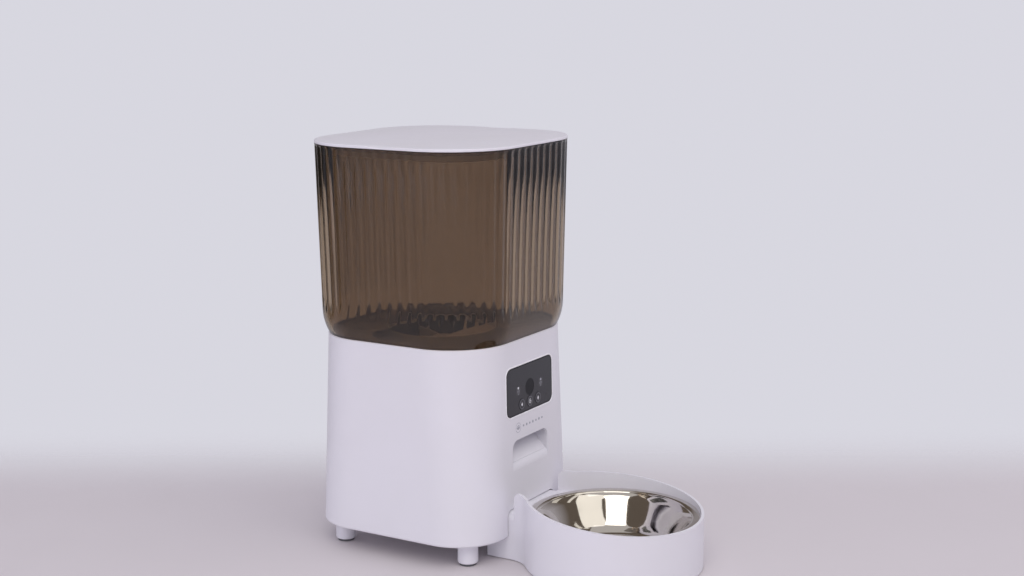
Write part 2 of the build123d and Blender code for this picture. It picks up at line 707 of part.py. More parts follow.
with BuildPart() as gearbox_base:
    with BuildSketch(body_plane(MOTOR_TOP)):
        with Locations(GEARBOX_SPOT):
            Rectangle(*GEARBOX_SIZE)
    extrude(amount=GEARBOX_ROOF - MOTOR_TOP)
    with BuildSketch(body_plane(GEARBOX_FLOOR)):
        with Locations(GEARBOX_SPOT):
            Rectangle(GEARBOX_SIZE[0] - 3, GEARBOX_SIZE[1] - 1.5)
        with Locations(*POSTS):
            Circle(POST_RADIUS, mode=Mode.SUBTRACT)
    extrude(amount=GEARBOX_ROOF - GEARBOX_FLOOR, mode=Mode.SUBTRACT)
    with BuildSketch(body_plane(MOTOR_TOP)):
        with Locations(MOTOR_SPOT):
            Circle(MOTOR_SHAFT + RUNNING)
        with Locations(*POSTS):
            Circle(SCREW_RADIUS)
    extrude(amount=GEARBOX_ROOF - MOTOR_TOP, mode=Mode.SUBTRACT)
save(gearbox_base, "gearbox_base")

with BuildPart() as gearbox_cover:
    with BuildSketch(body_plane(GEARBOX_ROOF)):
        with Locations(GEARBOX_SPOT):
            Rectangle(*GEARBOX_SIZE)
        with Locations(*POSTS):
            Circle(SCREW_RADIUS, mode=Mode.SUBTRACT)
        Circle(SHAFT_RADIUS + RUNNING, mode=Mode.SUBTRACT)
    extrude(amount=WELL_UNDER - GEARBOX_ROOF)
save(gearbox_cover, "gearbox_cover")

with BuildPart() as gearbox_screws:
    with BuildSketch(body_plane(MOTOR_TOP)):
        with Locations(*POSTS):
            Circle(SCREW_RADIUS)
    extrude(amount=WELL_UNDER - MOTOR_TOP)
    with BuildSketch(body_plane(MOTOR_TOP)):
        with Locations(*POSTS):
            Circle(SCREW_HEAD)
    extrude(amount=-SCREW_HEAD_HEIGHT)
save(gearbox_screws, "gearbox_screws")

with BuildPart() as base_screws:
    with BuildSketch(body_plane(HOUSING_BOTTOM + SCREW_HEAD_HEIGHT)):
        with Locations(*BOSS_SPOTS):
            Circle(SCREW_RADIUS)
    extrude(amount=SCREW_LENGTH)
    with BuildSketch(body_plane(HOUSING_BOTTOM + SCREW_SUNK)):
        with Locations(*BOSS_SPOTS):
            Circle(SCREW_HEAD)
    extrude(amount=SCREW_HEAD_HEIGHT - SCREW_SUNK)
save(base_screws, "base_screws")

# ---------------------------------------------------------------- control panel
def on_panel(x, height):
    """Sketch place on the panel for a spot of the front face."""
    return (x, height - PANEL_Z)


BUTTON_SPOTS = {
    "feed_button": on_panel(-BUTTON_PITCH, BUTTON_Z),
    "record_button": on_panel(0, BUTTON_Z),
    "settings_button": on_panel(BUTTON_PITCH, BUTTON_Z),
}
STATUS_SPOTS = [on_panel(-STATUS_X, CAMERA_Z), on_panel(STATUS_X, CAMERA_Z)]
MIC_SPOT = on_panel(29, BUTTON_Z)
MIC_HOLE = 0.5
MIC_RADIUS = 2.0

with BuildPart() as control_panel:
    with BuildSketch(front_plane(PANEL_THICK)):
        RectangleRounded(*PANEL)
        with Locations(*BUTTON_SPOTS.values()):
            Circle(BUTTON_RADIUS + 0.15, mode=Mode.SUBTRACT)
        with Locations(on_panel(0, CAMERA_Z)):
            Circle(CAMERA_RADIUS, mode=Mode.SUBTRACT)
        with Locations(*STATUS_SPOTS):
            Rectangle(*STATUS_SIZE, mode=Mode.SUBTRACT)
        with Locations(MIC_SPOT):
            Circle(MIC_HOLE, mode=Mode.SUBTRACT)
    extrude(amount=PANEL_THICK)
save(control_panel, "control_panel")

BUTTON_BACK = 3.0
BUTTON_FLANGE = (5.7, 0.8)
BUTTON_STEM = (2.0, 0.6)
SWITCH = (6.0, 3.0)
SWITCH_TIP = (1.6, 0.5)
for name, spot in BUTTON_SPOTS.items():
    with BuildPart() as button:
        with BuildSketch(front_plane(BUTTON_BACK)):
            with Locations(spot):
                Circle(BUTTON_RADIUS)
        extrude(amount=BUTTON_BACK + BUTTON_PROUD)
        fillet(button.edges().sort_by(Axis.Y)[0], radius=0.3)
        with BuildSketch(front_plane(BUTTON_BACK)):
            with Locations(spot):
                Circle(BUTTON_FLANGE[0])
        extrude(amount=BUTTON_FLANGE[1])
        with BuildSketch(front_plane(BUTTON_BACK)):
            with Locations(spot):
                Circle(BUTTON_STEM[0])
        extrude(amount=-BUTTON_STEM[1])
    save(button, name)

with BuildPart() as tact_switches:
    with BuildSketch(front_plane(BOARD_DEPTH)):
        with Locations(*BUTTON_SPOTS.values()):
            Rectangle(SWITCH[0], SWITCH[0])
    extrude(amount=SWITCH[1])
    with BuildSketch(front_plane(BOARD_DEPTH - SWITCH[1])):
        with Locations(*BUTTON_SPOTS.values()):
            Circle(SWITCH_TIP[0])
    extrude(amount=SWITCH_TIP[1])
save(tact_switches, "tact_switches")

with BuildPart() as control_board:
    with BuildSketch(front_plane(BOARD_DEPTH)):
        Rectangle(PANEL[0] - 10, PANEL[1] - 8)
    extrude(amount=-PCB)
save(control_board, "control_board")

with BuildPart() as status_lights:
    with BuildSketch(front_plane(BOARD_DEPTH)):
        with Locations(*STATUS_SPOTS):
            Rectangle(*STATUS_SIZE)
    extrude(amount=BOARD_DEPTH)
save(status_lights, "status_lights")

with BuildPart() as microphone:
    with BuildSketch(front_plane(PANEL_THICK + 2)):
        with Locations(MIC_SPOT):
            Circle(MIC_RADIUS)
    extrude(amount=PANEL_THICK + 2 - BOARD_DEPTH)
save(microphone, "microphone")

with BuildPart() as camera_window:
    with BuildSketch(front_plane(PANEL_THICK)):
        with Locations(on_panel(0, CAMERA_Z)):
            Circle(CAMERA_RADIUS)
    extrude(amount=PANEL_THICK - 0.2)
save(camera_window, "camera_window")

BARREL_RADIUS = 4.5
LENS_RADIUS = 3.0
LENS_DEPTH = 2.5
LENS_THICK = 1.5

with BuildPart() as camera_barrel:
    with BuildSketch(front_plane(BOARD_DEPTH)):
        with Locations(on_panel(0, CAMERA_Z)):
            Circle(BARREL_RADIUS)
    extrude(amount=BOARD_DEPTH - PANEL_THICK)
    with BuildSketch(front_plane(PANEL_THICK)):
        with Locations(on_panel(0, CAMERA_Z)):
            Circle(LENS_RADIUS)
    extrude(amount=-LENS_DEPTH, mode=Mode.SUBTRACT)
save(camera_barrel, "camera_barrel")

with BuildPart() as camera_lens:
    with BuildSketch(front_plane(PANEL_THICK + LENS_DEPTH)):
        with Locations(on_panel(0, CAMERA_Z)):
            Circle(LENS_RADIUS)
    extrude(amount=LENS_THICK)
save(camera_lens, "camera_lens")

# ---------------------------------------------------------------- hopper
HOPPER_FOOT = tuple(size - HOPPER_DRAFT * share for size, share in zip(RIM, (2, 2, 1)))


def belly(inset):
    """Builds the hopper's form, drawn in by an inset: straight walls that curve in to a flat floor."""
    belt = HOPPER_BOTTOM + HOPPER_BELT
    loft(sections=[outline(HOPPER_FOOT, belt, inset), outline(RIM, RIM_Z, inset)])
    loft(
        sections=[
            outline(HOPPER_FOOT, HOPPER_BOTTOM + inset, HOPPER_TUCK + inset),
            outline(HOPPER_FOOT, belt, inset),
        ]
    )
    fillet(edges().filter_by_position(Axis.Z, belt - 1, belt + 1), radius=HOPPER_BELLY - inset)
    fillet(edges().group_by(Axis.Z)[0], radius=HOPPER_ROUND - inset)


with BuildPart() as hopper_space:
    belly(WALL)

with BuildPart() as hopper:
    belly(0)
    # Below the seam the foot is stepped in, so that it drops into the housing's rim.
    with BuildSketch(body_plane(HOPPER_BOTTOM)):
        rounded(HOPPER_FOOT)
        rounded(HOUSING_HEAD, WALL + 2 * GAP, mode=Mode.SUBTRACT)
    extrude(amount=HOUSING_TOP + GAP - HOPPER_BOTTOM, mode=Mode.SUBTRACT)
    add(hopper_space.part, mode=Mode.SUBTRACT)
    with BuildSketch(body_plane(HOPPER_BOTTOM)):
        Circle(THROAT_RADIUS)
    extrude(amount=WALL, mode=Mode.SUBTRACT)
save(hopper, "hopper")

SEAL_THICK = 3.0
with BuildPart() as throat_seal:
    with BuildSketch(body_plane(DECK_TOP - SEAL_THICK)):
        Circle(WELL_RADIUS)
        Circle(THROAT_RADIUS, mode=Mode.SUBTRACT)
    extrude(amount=SEAL_THICK)
save(throat_seal, "throat_seal")

# ---------------------------------------------------------------- lid
LID_BOTTOM = RIM_Z + GAP
LID_EDGE_TOP = 364.8
SKIRT_INSET = 5.6
SKIRT_WALL = 2.0
SKIRT_BOTTOM = 353.0
SEAL_Z = (355.0, 359.0)
SEAL_INSET = WALL + 0.6
NOTCH_HALF = 13.5
NOTCH_WIDTH = 4.0
NOTCH_DEPTH = 1.4
CROWN = (1.0, 24.0)

with BuildPart() as lid:
    with BuildSketch(body_plane(LID_BOTTOM)):
        rounded(RIM)
    extrude(amount=LID_EDGE_TOP - LID_BOTTOM)
    loft(sections=[outline(RIM, LID_EDGE_TOP, CROWN[0]), outline(RIM, LID_TOP, CROWN[1])])
    with BuildSketch(body_plane(SKIRT_BOTTOM)):
        rounded(RIM, SKIRT_INSET)
        RectangleRounded(
            RIM[0] - 2 * (SKIRT_INSET + SKIRT_WALL),
            RIM[1] - 2 * (SKIRT_INSET + SKIRT_WALL),
            RIM[2] - SKIRT_INSET - SKIRT_WALL,
            mode=Mode.SUBTRACT,
        )
    extrude(amount=LID_BOTTOM - SKIRT_BOTTOM)
    # Finger notches under both side edges.
    with BuildSketch(body_plane(LID_BOTTOM)):
        with Locations((-RIM[0] / 2, 0), (RIM[0] / 2, 0)):
            SlotOverall(2 * NOTCH_HALF, NOTCH_WIDTH, rotation=90)
    extrude(amount=NOTCH_DEPTH, mode=Mode.SUBTRACT)
save(lid, "lid")

with BuildPart() as lid_seal:
    with BuildSketch(body_plane(SEAL_Z[0])):
        rounded(RIM, SEAL_INSET)
        RectangleRounded(
            RIM[0] - 2 * SKIRT_INSET,
            RIM[1] - 2 * SKIRT_INSET,
            RIM[2] - SKIRT_INSET,
            mode=Mode.SUBTRACT,
        )
    extrude(amount=SEAL_Z[1] - SEAL_Z[0])
save(lid_seal, "lid_seal")

# ---------------------------------------------------------------- desiccant box under the lid
TRAY_RADIUS = 32.0
TRAY_BOTTOM = 344.0
TRAY_WALL = 2.0
BAG = (38.0, 38.0, 6.0)
BAG_THICK = 8.0
BAG_ROUND = 3.0
BAG_LIFT = 5.0
COVER_THICK = 2.0
COVER_HEIGHT = 7.0
COVER_BOTTOM = TRAY_BOTTOM - GAP - COVER_THICK
VENT = (20.0, 3.0)
VENT_RING = 17.0
VENT_COUNT = 10
VENT_START = 18.0
with BuildPart() as desiccant_tray:
    with BuildSketch(body_plane(TRAY_BOTTOM)):
        Circle(TRAY_RADIUS)
        Circle(TRAY_RADIUS - TRAY_WALL, mode=Mode.SUBTRACT)
    extrude(amount=LID_BOTTOM - TRAY_BOTTOM)
save(desiccant_tray, "desiccant_tray")

with BuildPart() as desiccant_bag:
    with BuildSketch(body_plane(TRAY_BOTTOM + BAG_LIFT)):
        RectangleRounded(*BAG)
    extrude(amount=BAG_THICK)
    fillet(desiccant_bag.edges().group_by(Axis.Z)[0], radius=BAG_ROUND)
    fillet(desiccant_bag.edges().group_by(Axis.Z)[-1], radius=BAG_ROUND)
save(desiccant_bag, "desiccant_bag")

with BuildPart() as desiccant_cover:
    with BuildSketch(body_plane(COVER_BOTTOM)):
        Circle(TRAY_RADIUS + COVER_THICK)
        with PolarLocations(VENT_RING, VENT_COUNT, start_angle=VENT_START):
            SlotOverall(*VENT, mode=Mode.SUBTRACT)
    extrude(amount=COVER_THICK)
    with BuildSketch(body_plane(COVER_BOTTOM + COVER_THICK)):
        Circle(TRAY_RADIUS + COVER_THICK)
        Circle(TRAY_RADIUS + GAP, mode=Mode.SUBTRACT)
    extrude(amount=COVER_HEIGHT)
save(desiccant_cover, "desiccant_cover")

# ---------------------------------------------------------------- bowl holder
HOLDER_BOTTOM = 0.8
SEAT_RADIUS = 69.5
HOLDER_INNER = HOLDER_RADIUS - HOLDER_WALL
CUP_FLOOR = 5.5
NECK_BACK = -HOUSING_FOOT[1] / 2 + NECK_DEPTH + HOLDER_REACH
NECK_BLEND = 28.0
WALL_END = 77.0
WALL_END_ROUND = 6.0
NECK_POCKET = 22.0
PAD_RADIUS = 6.0
PAD_RING = SEAT_RADIUS - 15.0
RIM_ROUND = 2.0


def wall_top(y):
    """Height of the holder's slanted rim at a distance behind the bowl's middle."""
    return HOLDER_MIDDLE_HEIGHT + HOLDER_SLOPE * y


def keyhole(height, back, inset=0.0):
    """The holder's plan: a circle blended into the straight neck, drawn in by an inset."""
    with BuildSketch(bowl_plane(height)) as sketch:
        Circle(HOLDER_RADIUS - inset)
        Rectangle(2 * (NECK_HALF - inset), back, align=(Align.CENTER, Align.MIN))
        fillet(sketch.vertices().filter_by_position(Axis.Y, 50, 75), radius=NECK_BLEND + inset)
    return sketch.sketch


with BuildPart() as bowl_holder:
    # Slanted wall, open towards the base and rounded off just in front of it.
    extrude(keyhole(HOLDER_BOTTOM, NECK_BACK), amount=HOLDER_MIDDLE_HEIGHT + 20)
    with BuildSketch(Plane.YZ) as side_view:
        with Locations((BOWL_Y, 0)):
            Polygon(
                (-HOLDER_RADIUS - 5, 0),
                (WALL_END, 0),
                (WALL_END, wall_top(WALL_END)),
                (-HOLDER_RADIUS - 5, wall_top(-HOLDER_RADIUS - 5)),
                align=None,
            )
        fillet(side_view.vertices().sort_by(Axis.Y)[-1], radius=WALL_END_ROUND)
    extrude(amount=HOLDER_RADIUS + 5, both=True, mode=Mode.INTERSECT)
    extrude(keyhole(NECK_HEIGHT, WALL_END + 10, HOLDER_WALL), amount=40, mode=Mode.SUBTRACT)
    # Neck that slides into the base.
    extrude(keyhole(HOLDER_BOTTOM, NECK_BACK), amount=NECK_HEIGHT - NECK_ROUND - HOLDER_BOTTOM)
    with BuildSketch(Plane.XZ.offset(-BOWL_Y)):
        with Locations((0, NECK_HEIGHT)):
            Rectangle(2 * NECK_HALF, NECK_HEIGHT - HOLDER_BOTTOM, align=(Align.CENTER, Align.MAX))
        fillet(vertices().group_by(Axis.Y)[-1], radius=NECK_ROUND)
    extrude(amount=-NECK_BACK)
    # Bowl seat.
    with BuildSketch(bowl_plane(CUP_FLOOR)):
        Circle(SEAT_RADIUS)
    extrude(amount=NECK_HEIGHT, mode=Mode.SUBTRACT)
    # Hollow underside: a ring under the ledge and a pocket in the neck.
    with BuildSketch(bowl_plane(HOLDER_BOTTOM)):
        Circle(HOLDER_INNER)
        Circle(SEAT_RADIUS + HOLDER_WALL, mode=Mode.SUBTRACT)
    extrude(amount=NECK_HEIGHT - HOLDER_WALL - HOLDER_BOTTOM, mode=Mode.SUBTRACT)
    with BuildSketch(bowl_plane(HOLDER_BOTTOM)):
        with Locations((0, NECK_BACK - HOLDER_WALL)):
            Rectangle(
                2 * (NECK_HALF - HOLDER_WALL), NECK_POCKET, align=(Align.CENTER, Align.MAX)
            )
        Circle(HOLDER_RADIUS, mode=Mode.SUBTRACT)
    extrude(amount=NECK_HEIGHT - HOLDER_WALL - HOLDER_BOTTOM, mode=Mode.SUBTRACT)
save(bowl_holder, "bowl_holder")

with BuildPart() as holder_pads:
    with BuildSketch(bowl_plane(0)):
        Circle(PAD_RADIUS)
        with PolarLocations(PAD_RING, 4, start_angle=45):
            Circle(PAD_RADIUS)
    extrude(amount=HOLDER_BOTTOM)
save(holder_pads, "holder_pads")

# ---------------------------------------------------------------- steel bowl
BOWL_STEEL = 0.8
BOWL_MOUTH = 67.5
BOWL_FLOOR = 9.0
BOWL_FLOOR_RADIUS = 46.0
BOWL_KNEE = 18.0
BOWL_SKIN = BOWL_STEEL * math.hypot(BOWL_MOUTH - BOWL_FLOOR_RADIUS, BOWL_RIM_Z - BOWL_FLOOR) / (
    BOWL_RIM_Z - BOWL_FLOOR
)


def bowl_section(drawn_in, floor, knee):
    """Half of the bowl's section: a flat floor, a round knee and a slanted wall up to the rim."""
    with BuildSketch(Plane((0, BOWL_Y, 0), x_dir=(1, 0, 0), z_dir=(0, -1, 0))) as sketch:
        Polygon(
            (0, floor),
            (BOWL_FLOOR_RADIUS - drawn_in, floor),
            (BOWL_MOUTH - drawn_in, BOWL_RIM_Z),
            (0, BOWL_RIM_Z),
            align=None,
        )
        fillet(sketch.vertices().sort_by(Axis.X)[-2], radius=knee)
    return sketch.sketch


with BuildPart() as bowl:
    revolve(bowl_section(0, BOWL_FLOOR, BOWL_KNEE), axis=Axis((0, BOWL_Y, 0), (0, 0, 1)))
    with BuildSketch(bowl_plane(BOWL_RIM_Z - BOWL_STEEL)):
        Circle(BOWL_RADIUS)
    extrude(amount=BOWL_STEEL)
    revolve(
        bowl_section(BOWL_SKIN, BOWL_FLOOR + BOWL_STEEL, BOWL_KNEE - BOWL_STEEL),
        axis=Axis((0, BOWL_Y, 0), (0, 0, 1)),
        mode=Mode.SUBTRACT,
    )
    fillet(bowl.edges().group_by(Axis.Z)[-1].sort_by(SortBy.LENGTH)[0], radius=RIM_ROUND)
save(bowl, "bowl")
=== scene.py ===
"""Looks of the automatic pet feeder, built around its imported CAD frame.

Lengths are in metres, +Z is up and the front faces -Y.
"""

import json
import math

import bmesh
import bpy
from mathutils import Matrix, Vector


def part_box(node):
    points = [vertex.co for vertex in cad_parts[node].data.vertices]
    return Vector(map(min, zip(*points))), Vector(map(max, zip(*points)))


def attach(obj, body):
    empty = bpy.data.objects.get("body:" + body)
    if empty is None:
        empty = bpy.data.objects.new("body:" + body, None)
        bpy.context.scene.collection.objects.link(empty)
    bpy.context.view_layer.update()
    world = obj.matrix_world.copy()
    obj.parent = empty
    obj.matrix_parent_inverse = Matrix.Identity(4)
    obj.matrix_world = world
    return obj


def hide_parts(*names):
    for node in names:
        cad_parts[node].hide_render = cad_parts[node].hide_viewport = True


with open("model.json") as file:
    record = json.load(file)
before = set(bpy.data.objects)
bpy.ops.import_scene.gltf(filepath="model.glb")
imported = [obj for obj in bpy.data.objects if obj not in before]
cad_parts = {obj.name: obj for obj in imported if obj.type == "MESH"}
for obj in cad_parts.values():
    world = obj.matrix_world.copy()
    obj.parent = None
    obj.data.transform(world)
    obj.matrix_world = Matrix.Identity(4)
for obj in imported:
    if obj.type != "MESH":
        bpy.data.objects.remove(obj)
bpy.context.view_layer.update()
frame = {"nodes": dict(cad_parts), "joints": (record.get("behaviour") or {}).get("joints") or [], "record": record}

MM = 0.001
SCENE = bpy.context.scene
NODES = frame["nodes"]

# ---------------------------------------------------------------- places read from the frame
hopper_low, hopper_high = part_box("hopper")
housing_low, housing_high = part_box("housing")
lid_low, lid_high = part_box("lid")
bowl_low, bowl_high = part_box("bowl")
BODY_Y = (hopper_low.y + hopper_high.y) / 2
BOWL_Y = (bowl_low.y + bowl_high.y) / 2
PRESS = next(Vector(j["axis"]) for j in frame["joints"] if j["name"] == "feed_button_press")
FACE_OUT = -PRESS


# ---------------------------------------------------------------- materials
class Surface:
    """A Principled material whose colour, roughness and relief come from procedural noise."""

    def __init__(self, name, colour, roughness, metallic=0.0):
        self.material = bpy.data.materials.new(name)
        self.material.use_nodes = True
        self.nodes = self.material.node_tree.nodes
        self.links = self.material.node_tree.links
        self.shader = self.nodes["Principled BSDF"]
        self.output = self.nodes["Material Output"]
        self.colour = colour
        self.roughness = roughness
        self.shader.inputs["Base Color"].default_value = (*colour, 1)
        self.shader.inputs["Roughness"].default_value = roughness
        self.shader.inputs["Metallic"].default_value = metallic
        self.place = self.nodes.new("ShaderNodeTexCoord").outputs["Object"]
        self.height = None

    def set(self, **values):
        """Sets plain values on the shader's own sockets."""
        for key, value in values.items():
            self.shader.inputs[key.replace("_", " ")].default_value = value
        return self

    def stretched(self, scale):
        """Object coordinates scaled along each axis."""
        mapping = self.nodes.new("ShaderNodeMapping")
        mapping.inputs["Scale"].default_value = scale
        self.links.new(self.place, mapping.inputs["Vector"])
        return mapping.outputs["Vector"]

    def noise(self, scale, detail=3.0, stretch=(1, 1, 1)):
        """A noise value at so many cells a metre."""
        node = self.nodes.new("ShaderNodeTexNoise")
        node.inputs["Scale"].default_value = scale
        node.inputs["Detail"].default_value = detail
        self.links.new(self.stretched(stretch), node.inputs["Vector"])
        return node.outputs["Fac"]

    def spread(self, value, low, high):
        """A value of 0.3 to 0.7 spread over a new range."""
        node = self.nodes.new("ShaderNodeMapRange")
        node.inputs["From Min"].default_value = 0.3
        node.inputs["From Max"].default_value = 0.7
        node.inputs["To Min"].default_value = low
        node.inputs["To Max"].default_value = high
        self.links.new(value, node.inputs["Value"])
        return node.outputs["Result"]

    def mottled(self, scale, amount, tint=(1, 1, 1)):
        """Varies the colour a little, towards a tint, over patches of a size."""
        mix = self.nodes.new("ShaderNodeMix")
        mix.data_type = "RGBA"
        dark = [c * (1 - amount) * t for c, t in zip(self.colour, tint)]
        light = [min(1, c * (1 + amount)) for c in self.colour]
        mix.inputs["A"].default_value = (*dark, 1)
        mix.inputs["B"].default_value = (*light, 1)
        self.links.new(self.spread(self.noise(scale), 0, 1), mix.inputs["Factor"])
        self.links.new(mix.outputs["Result"], self.shader.inputs["Base Color"])
        return self

    def smudged(self, scale, amount, stretch=(1, 1, 1)):
        """Varies the roughness, as handling and moulding do."""
        rough = self.spread(
            self.noise(scale, 4.0, stretch), self.roughness - amount, self.roughness + amount
        )
        self.links.new(rough, self.shader.inputs["Roughness"])
        return self

    def grained(self, scale, depth, stretch=(1, 1, 1), detail=2.0):
        """Adds fine relief of a depth in metres; relief from several calls adds up."""
        bump = self.nodes.new("ShaderNodeBump")
        bump.inputs["Strength"].default_value = 1.0
        bump.inputs["Distance"].default_value = depth
        self.links.new(self.noise(scale, detail, stretch), bump.inputs["Height"])
        if self.height is not None:
            self.links.new(self.height, bump.inputs["Normal"])
        self.height = bump.outputs["Normal"]
        self.links.new(self.height, self.shader.inputs["Normal"])
        return self

    def turned(self, centre, pitch, depth):
        """Adds fine rings about a vertical axis, as spinning and polishing leave."""
        shift = self.nodes.new("ShaderNodeMapping")
        shift.inputs["Location"].default_value = (-centre[0], -centre[1], 0)
        self.links.new(self.place, shift.inputs["Vector"])
        rings = self.nodes.new("ShaderNodeTexWave")
        rings.wave_type = "RINGS"
        rings.rings_direction = "Z"
        rings.inputs["Scale"].default_value = 1 / pitch
        rings.inputs["Distortion"].default_value = 0.6
        rings.inputs["Detail"].default_value = 3.0
        self.links.new(shift.outputs["Vector"], rings.inputs["Vector"])
        bump = self.nodes.new("ShaderNodeBump")
        bump.inputs["Distance"].default_value = depth
        self.links.new(rings.outputs["Fac"], bump.inputs["Height"])
        if self.height is not None:
            self.links.new(self.height, bump.inputs["Normal"])
        self.height = bump.outputs["Normal"]
        self.links.new(self.height, self.shader.inputs["Normal"])
        return self

    def lets_lamps_through(self, colour):
        """Rays towards lamps pass straight through, tinted, so what is inside is lit."""
        clear = self.nodes.new("ShaderNodeBsdfTransparent")
        clear.inputs["Color"].default_value = (*colour, 1)
        path = self.nodes.new("ShaderNodeLightPath")
        mix = self.nodes.new("ShaderNodeMixShader")
        self.links.new(path.outputs["Is Shadow Ray"], mix.inputs["Fac"])
        self.links.new(self.shader.outputs["BSDF"], mix.inputs[1])
        self.links.new(clear.outputs["BSDF"], mix.inputs[2])
        self.links.new(mix.outputs["Shader"], self.output.inputs["Surface"])
        return self

    def fades_along(self, direction, end, length):
        """Turns clear along a direction: the surface fades out over a length, up to an end."""
        along = self.nodes.new("ShaderNodeVectorMath")
        along.operation = "DOT_PRODUCT"
        along.inputs[1].default_value = direction
        self.links.new(self.place, along.inputs[0])
        fade = self.nodes.new("ShaderNodeMapRange")
        fade.interpolation_type = "SMOOTHERSTEP"
        fade.inputs["From Min"].default_value = end - length
        fade.inputs["From Max"].default_value = end
        self.links.new(along.outputs["Value"], fade.inputs["Value"])
        mix = self.nodes.new("ShaderNodeMixShader")
        self.links.new(fade.outputs["Result"], mix.inputs["Fac"])
        self.links.new(self.shader.outputs["BSDF"], mix.inputs[1])
        self.links.new(self.nodes.new("ShaderNodeBsdfTransparent").outputs["BSDF"], mix.inputs[2])
        self.links.new(mix.outputs["Shader"], self.output.inputs["Surface"])
        return self


FINISHES = {
    "white_shell": Surface("white_shell", (0.80, 0.785, 0.84), 0.34)
    .set(Specular_IOR_Level=0.45)
    .mottled(14, 0.012, (1, 1, 0.99))
    .smudged(60, 0.05)
    .grained(1400, 0.000012)
    .grained(90, 0.00003),
    "inner_white": Surface("inner_white", (0.80, 0.79, 0.83), 0.5)
    .mottled(40, 0.02)
    .smudged(120, 0.06)
    .grained(1800, 0.00003),
    "smoked_hopper": Surface("smoked_hopper", (0.36, 0.27, 0.185), 0.05)
    .set(Transmission_Weight=1.0, IOR=1.5, Specular_IOR_Level=0.4)
    .smudged(30, 0.02)
    .grained(25, 0.00003)
    .lets_lamps_through((0.50, 0.42, 0.34)),
    "deck_dark": Surface("deck_dark", (0.035, 0.03, 0.03), 0.6)
    .mottled(120, 0.1)
    .smudged(120, 0.08)
    .grained(1500, 0.00003),
    "rubber_grey": Surface("rubber_grey", (0.12, 0.12, 0.13), 0.8)
    .mottled(300, 0.12)
    .smudged(200, 0.08)
    .grained(2500, 0.00006),
    "silicone": Surface("silicone", (0.62, 0.62, 0.63), 0.55)
    .set(Subsurface_Weight=0.1)
    .mottled(150, 0.05)
    .smudged(150, 0.08)
    .grained(1500, 0.00003),
    "panel_black": Surface("panel_black", (0.022, 0.022, 0.028), 0.16)
    .set(Specular_IOR_Level=0.42)
    .mottled(60, 0.06)
    .smudged(25, 0.05)
    .grained(60, 0.00001),
    "button_black": Surface("button_black", (0.026, 0.026, 0.032), 0.2)
    .set(Specular_IOR_Level=0.4)
    .mottled(200, 0.08)
    .smudged(150, 0.06)
    .grained(900, 0.00001),
    "dark_glass": Surface("dark_glass", (0.006, 0.006, 0.009), 0.04)
    .set(Specular_IOR_Level=0.18)
    .mottled(80, 0.2)
    .smudged(40, 0.02),
    "black_plastic": Surface("black_plastic", (0.03, 0.03, 0.032), 0.55)
    .mottled(200, 0.1)
    .smudged(150, 0.1)
    .grained(1800, 0.00005),
    "light_pipe": Surface("light_pipe", (0.03, 0.03, 0.036), 0.15)
    .set(Coat_Weight=0.4, Coat_Roughness=0.06)
    .mottled(100, 0.08)
    .smudged(60, 0.04),
    "circuit_board": Surface("circuit_board", (0.02, 0.16, 0.07), 0.4)
    .mottled(700, 0.35, (0.7, 1, 0.7))
    .smudged(300, 0.12)
    .grained(900, 0.00004),
    "steel": Surface("steel", (0.70, 0.67, 0.64), 0.07, 1.0)
    .mottled(60, 0.03)
    .smudged(40, 0.025)
    .turned((0, BOWL_Y), 0.0011, 0.0000015),
    "screw_steel": Surface("screw_steel", (0.50, 0.49, 0.48), 0.32, 1.0)
    .mottled(900, 0.1)
    .smudged(700, 0.08)
    .grained(3000, 0.00002),
    "motor_can": Surface("motor_can", (0.55, 0.55, 0.56), 0.3, 1.0)
    .mottled(120, 0.06)
    .smudged(90, 0.08)
    .grained(1500, 0.00002, (1, 1, 0.05)),
    "gear_acetal": Surface("gear_acetal", (0.80, 0.78, 0.70), 0.42)
    .set(Subsurface_Weight=0.08)
    .mottled(180, 0.03)
    .smudged(250, 0.06)
    .grained(1500, 0.00003),
    "rotor_grey": Surface("rotor_grey", (0.62, 0.64, 0.66), 0.55)
    .mottled(120, 0.04)
    .smudged(160, 0.07)
    .grained(1600, 0.00003),
    "cell_wrap": Surface("cell_wrap", (0.06, 0.06, 0.065), 0.3)
    .mottled(90, 0.12)
    .smudged(60, 0.08)
    .grained(500, 0.00004),
    "nickel": Surface("nickel", (0.66, 0.62, 0.54), 0.25, 1.0)
    .mottled(400, 0.08)
    .smudged(300, 0.08)
    .grained(2500, 0.00002),
    "paper_bag": Surface("paper_bag", (0.80, 0.80, 0.77), 0.9)
    .set(Sheen_Weight=0.2)
    .mottled(900, 0.06)
    .smudged(600, 0.05)
    .grained(2200, 0.00012),
    "print_white": Surface("print_white", (0.72, 0.72, 0.76), 0.5)
    .mottled(900, 0.05)
    .smudged(600, 0.08),
    "print_grey": Surface("print_grey", (0.40, 0.40, 0.46), 0.5)
    .mottled(900, 0.05)
    .smudged(600, 0.08),
    "print_dim": Surface("print_dim", (0.20, 0.20, 0.23), 0.5)
    .mottled(900, 0.05)
    .smudged(600, 0.08),
    # Painted highlight: near white, brighter than the shell, for the lit edge round the panel.
    "bright_edge": Surface("bright_edge", (0.95, 0.94, 0.97), 0.3)
    .mottled(200, 0.01)
    .smudged(200, 0.05)
    .grained(1500, 0.00001),
    # Painted shade: near black, for the shadowed gap round the panel.
    "border_black": Surface("border_black", (0.006, 0.006, 0.008), 0.25)
    .set(Specular_IOR_Level=0.15)
    .mottled(200, 0.1)
    .smudged(200, 0.05),
}

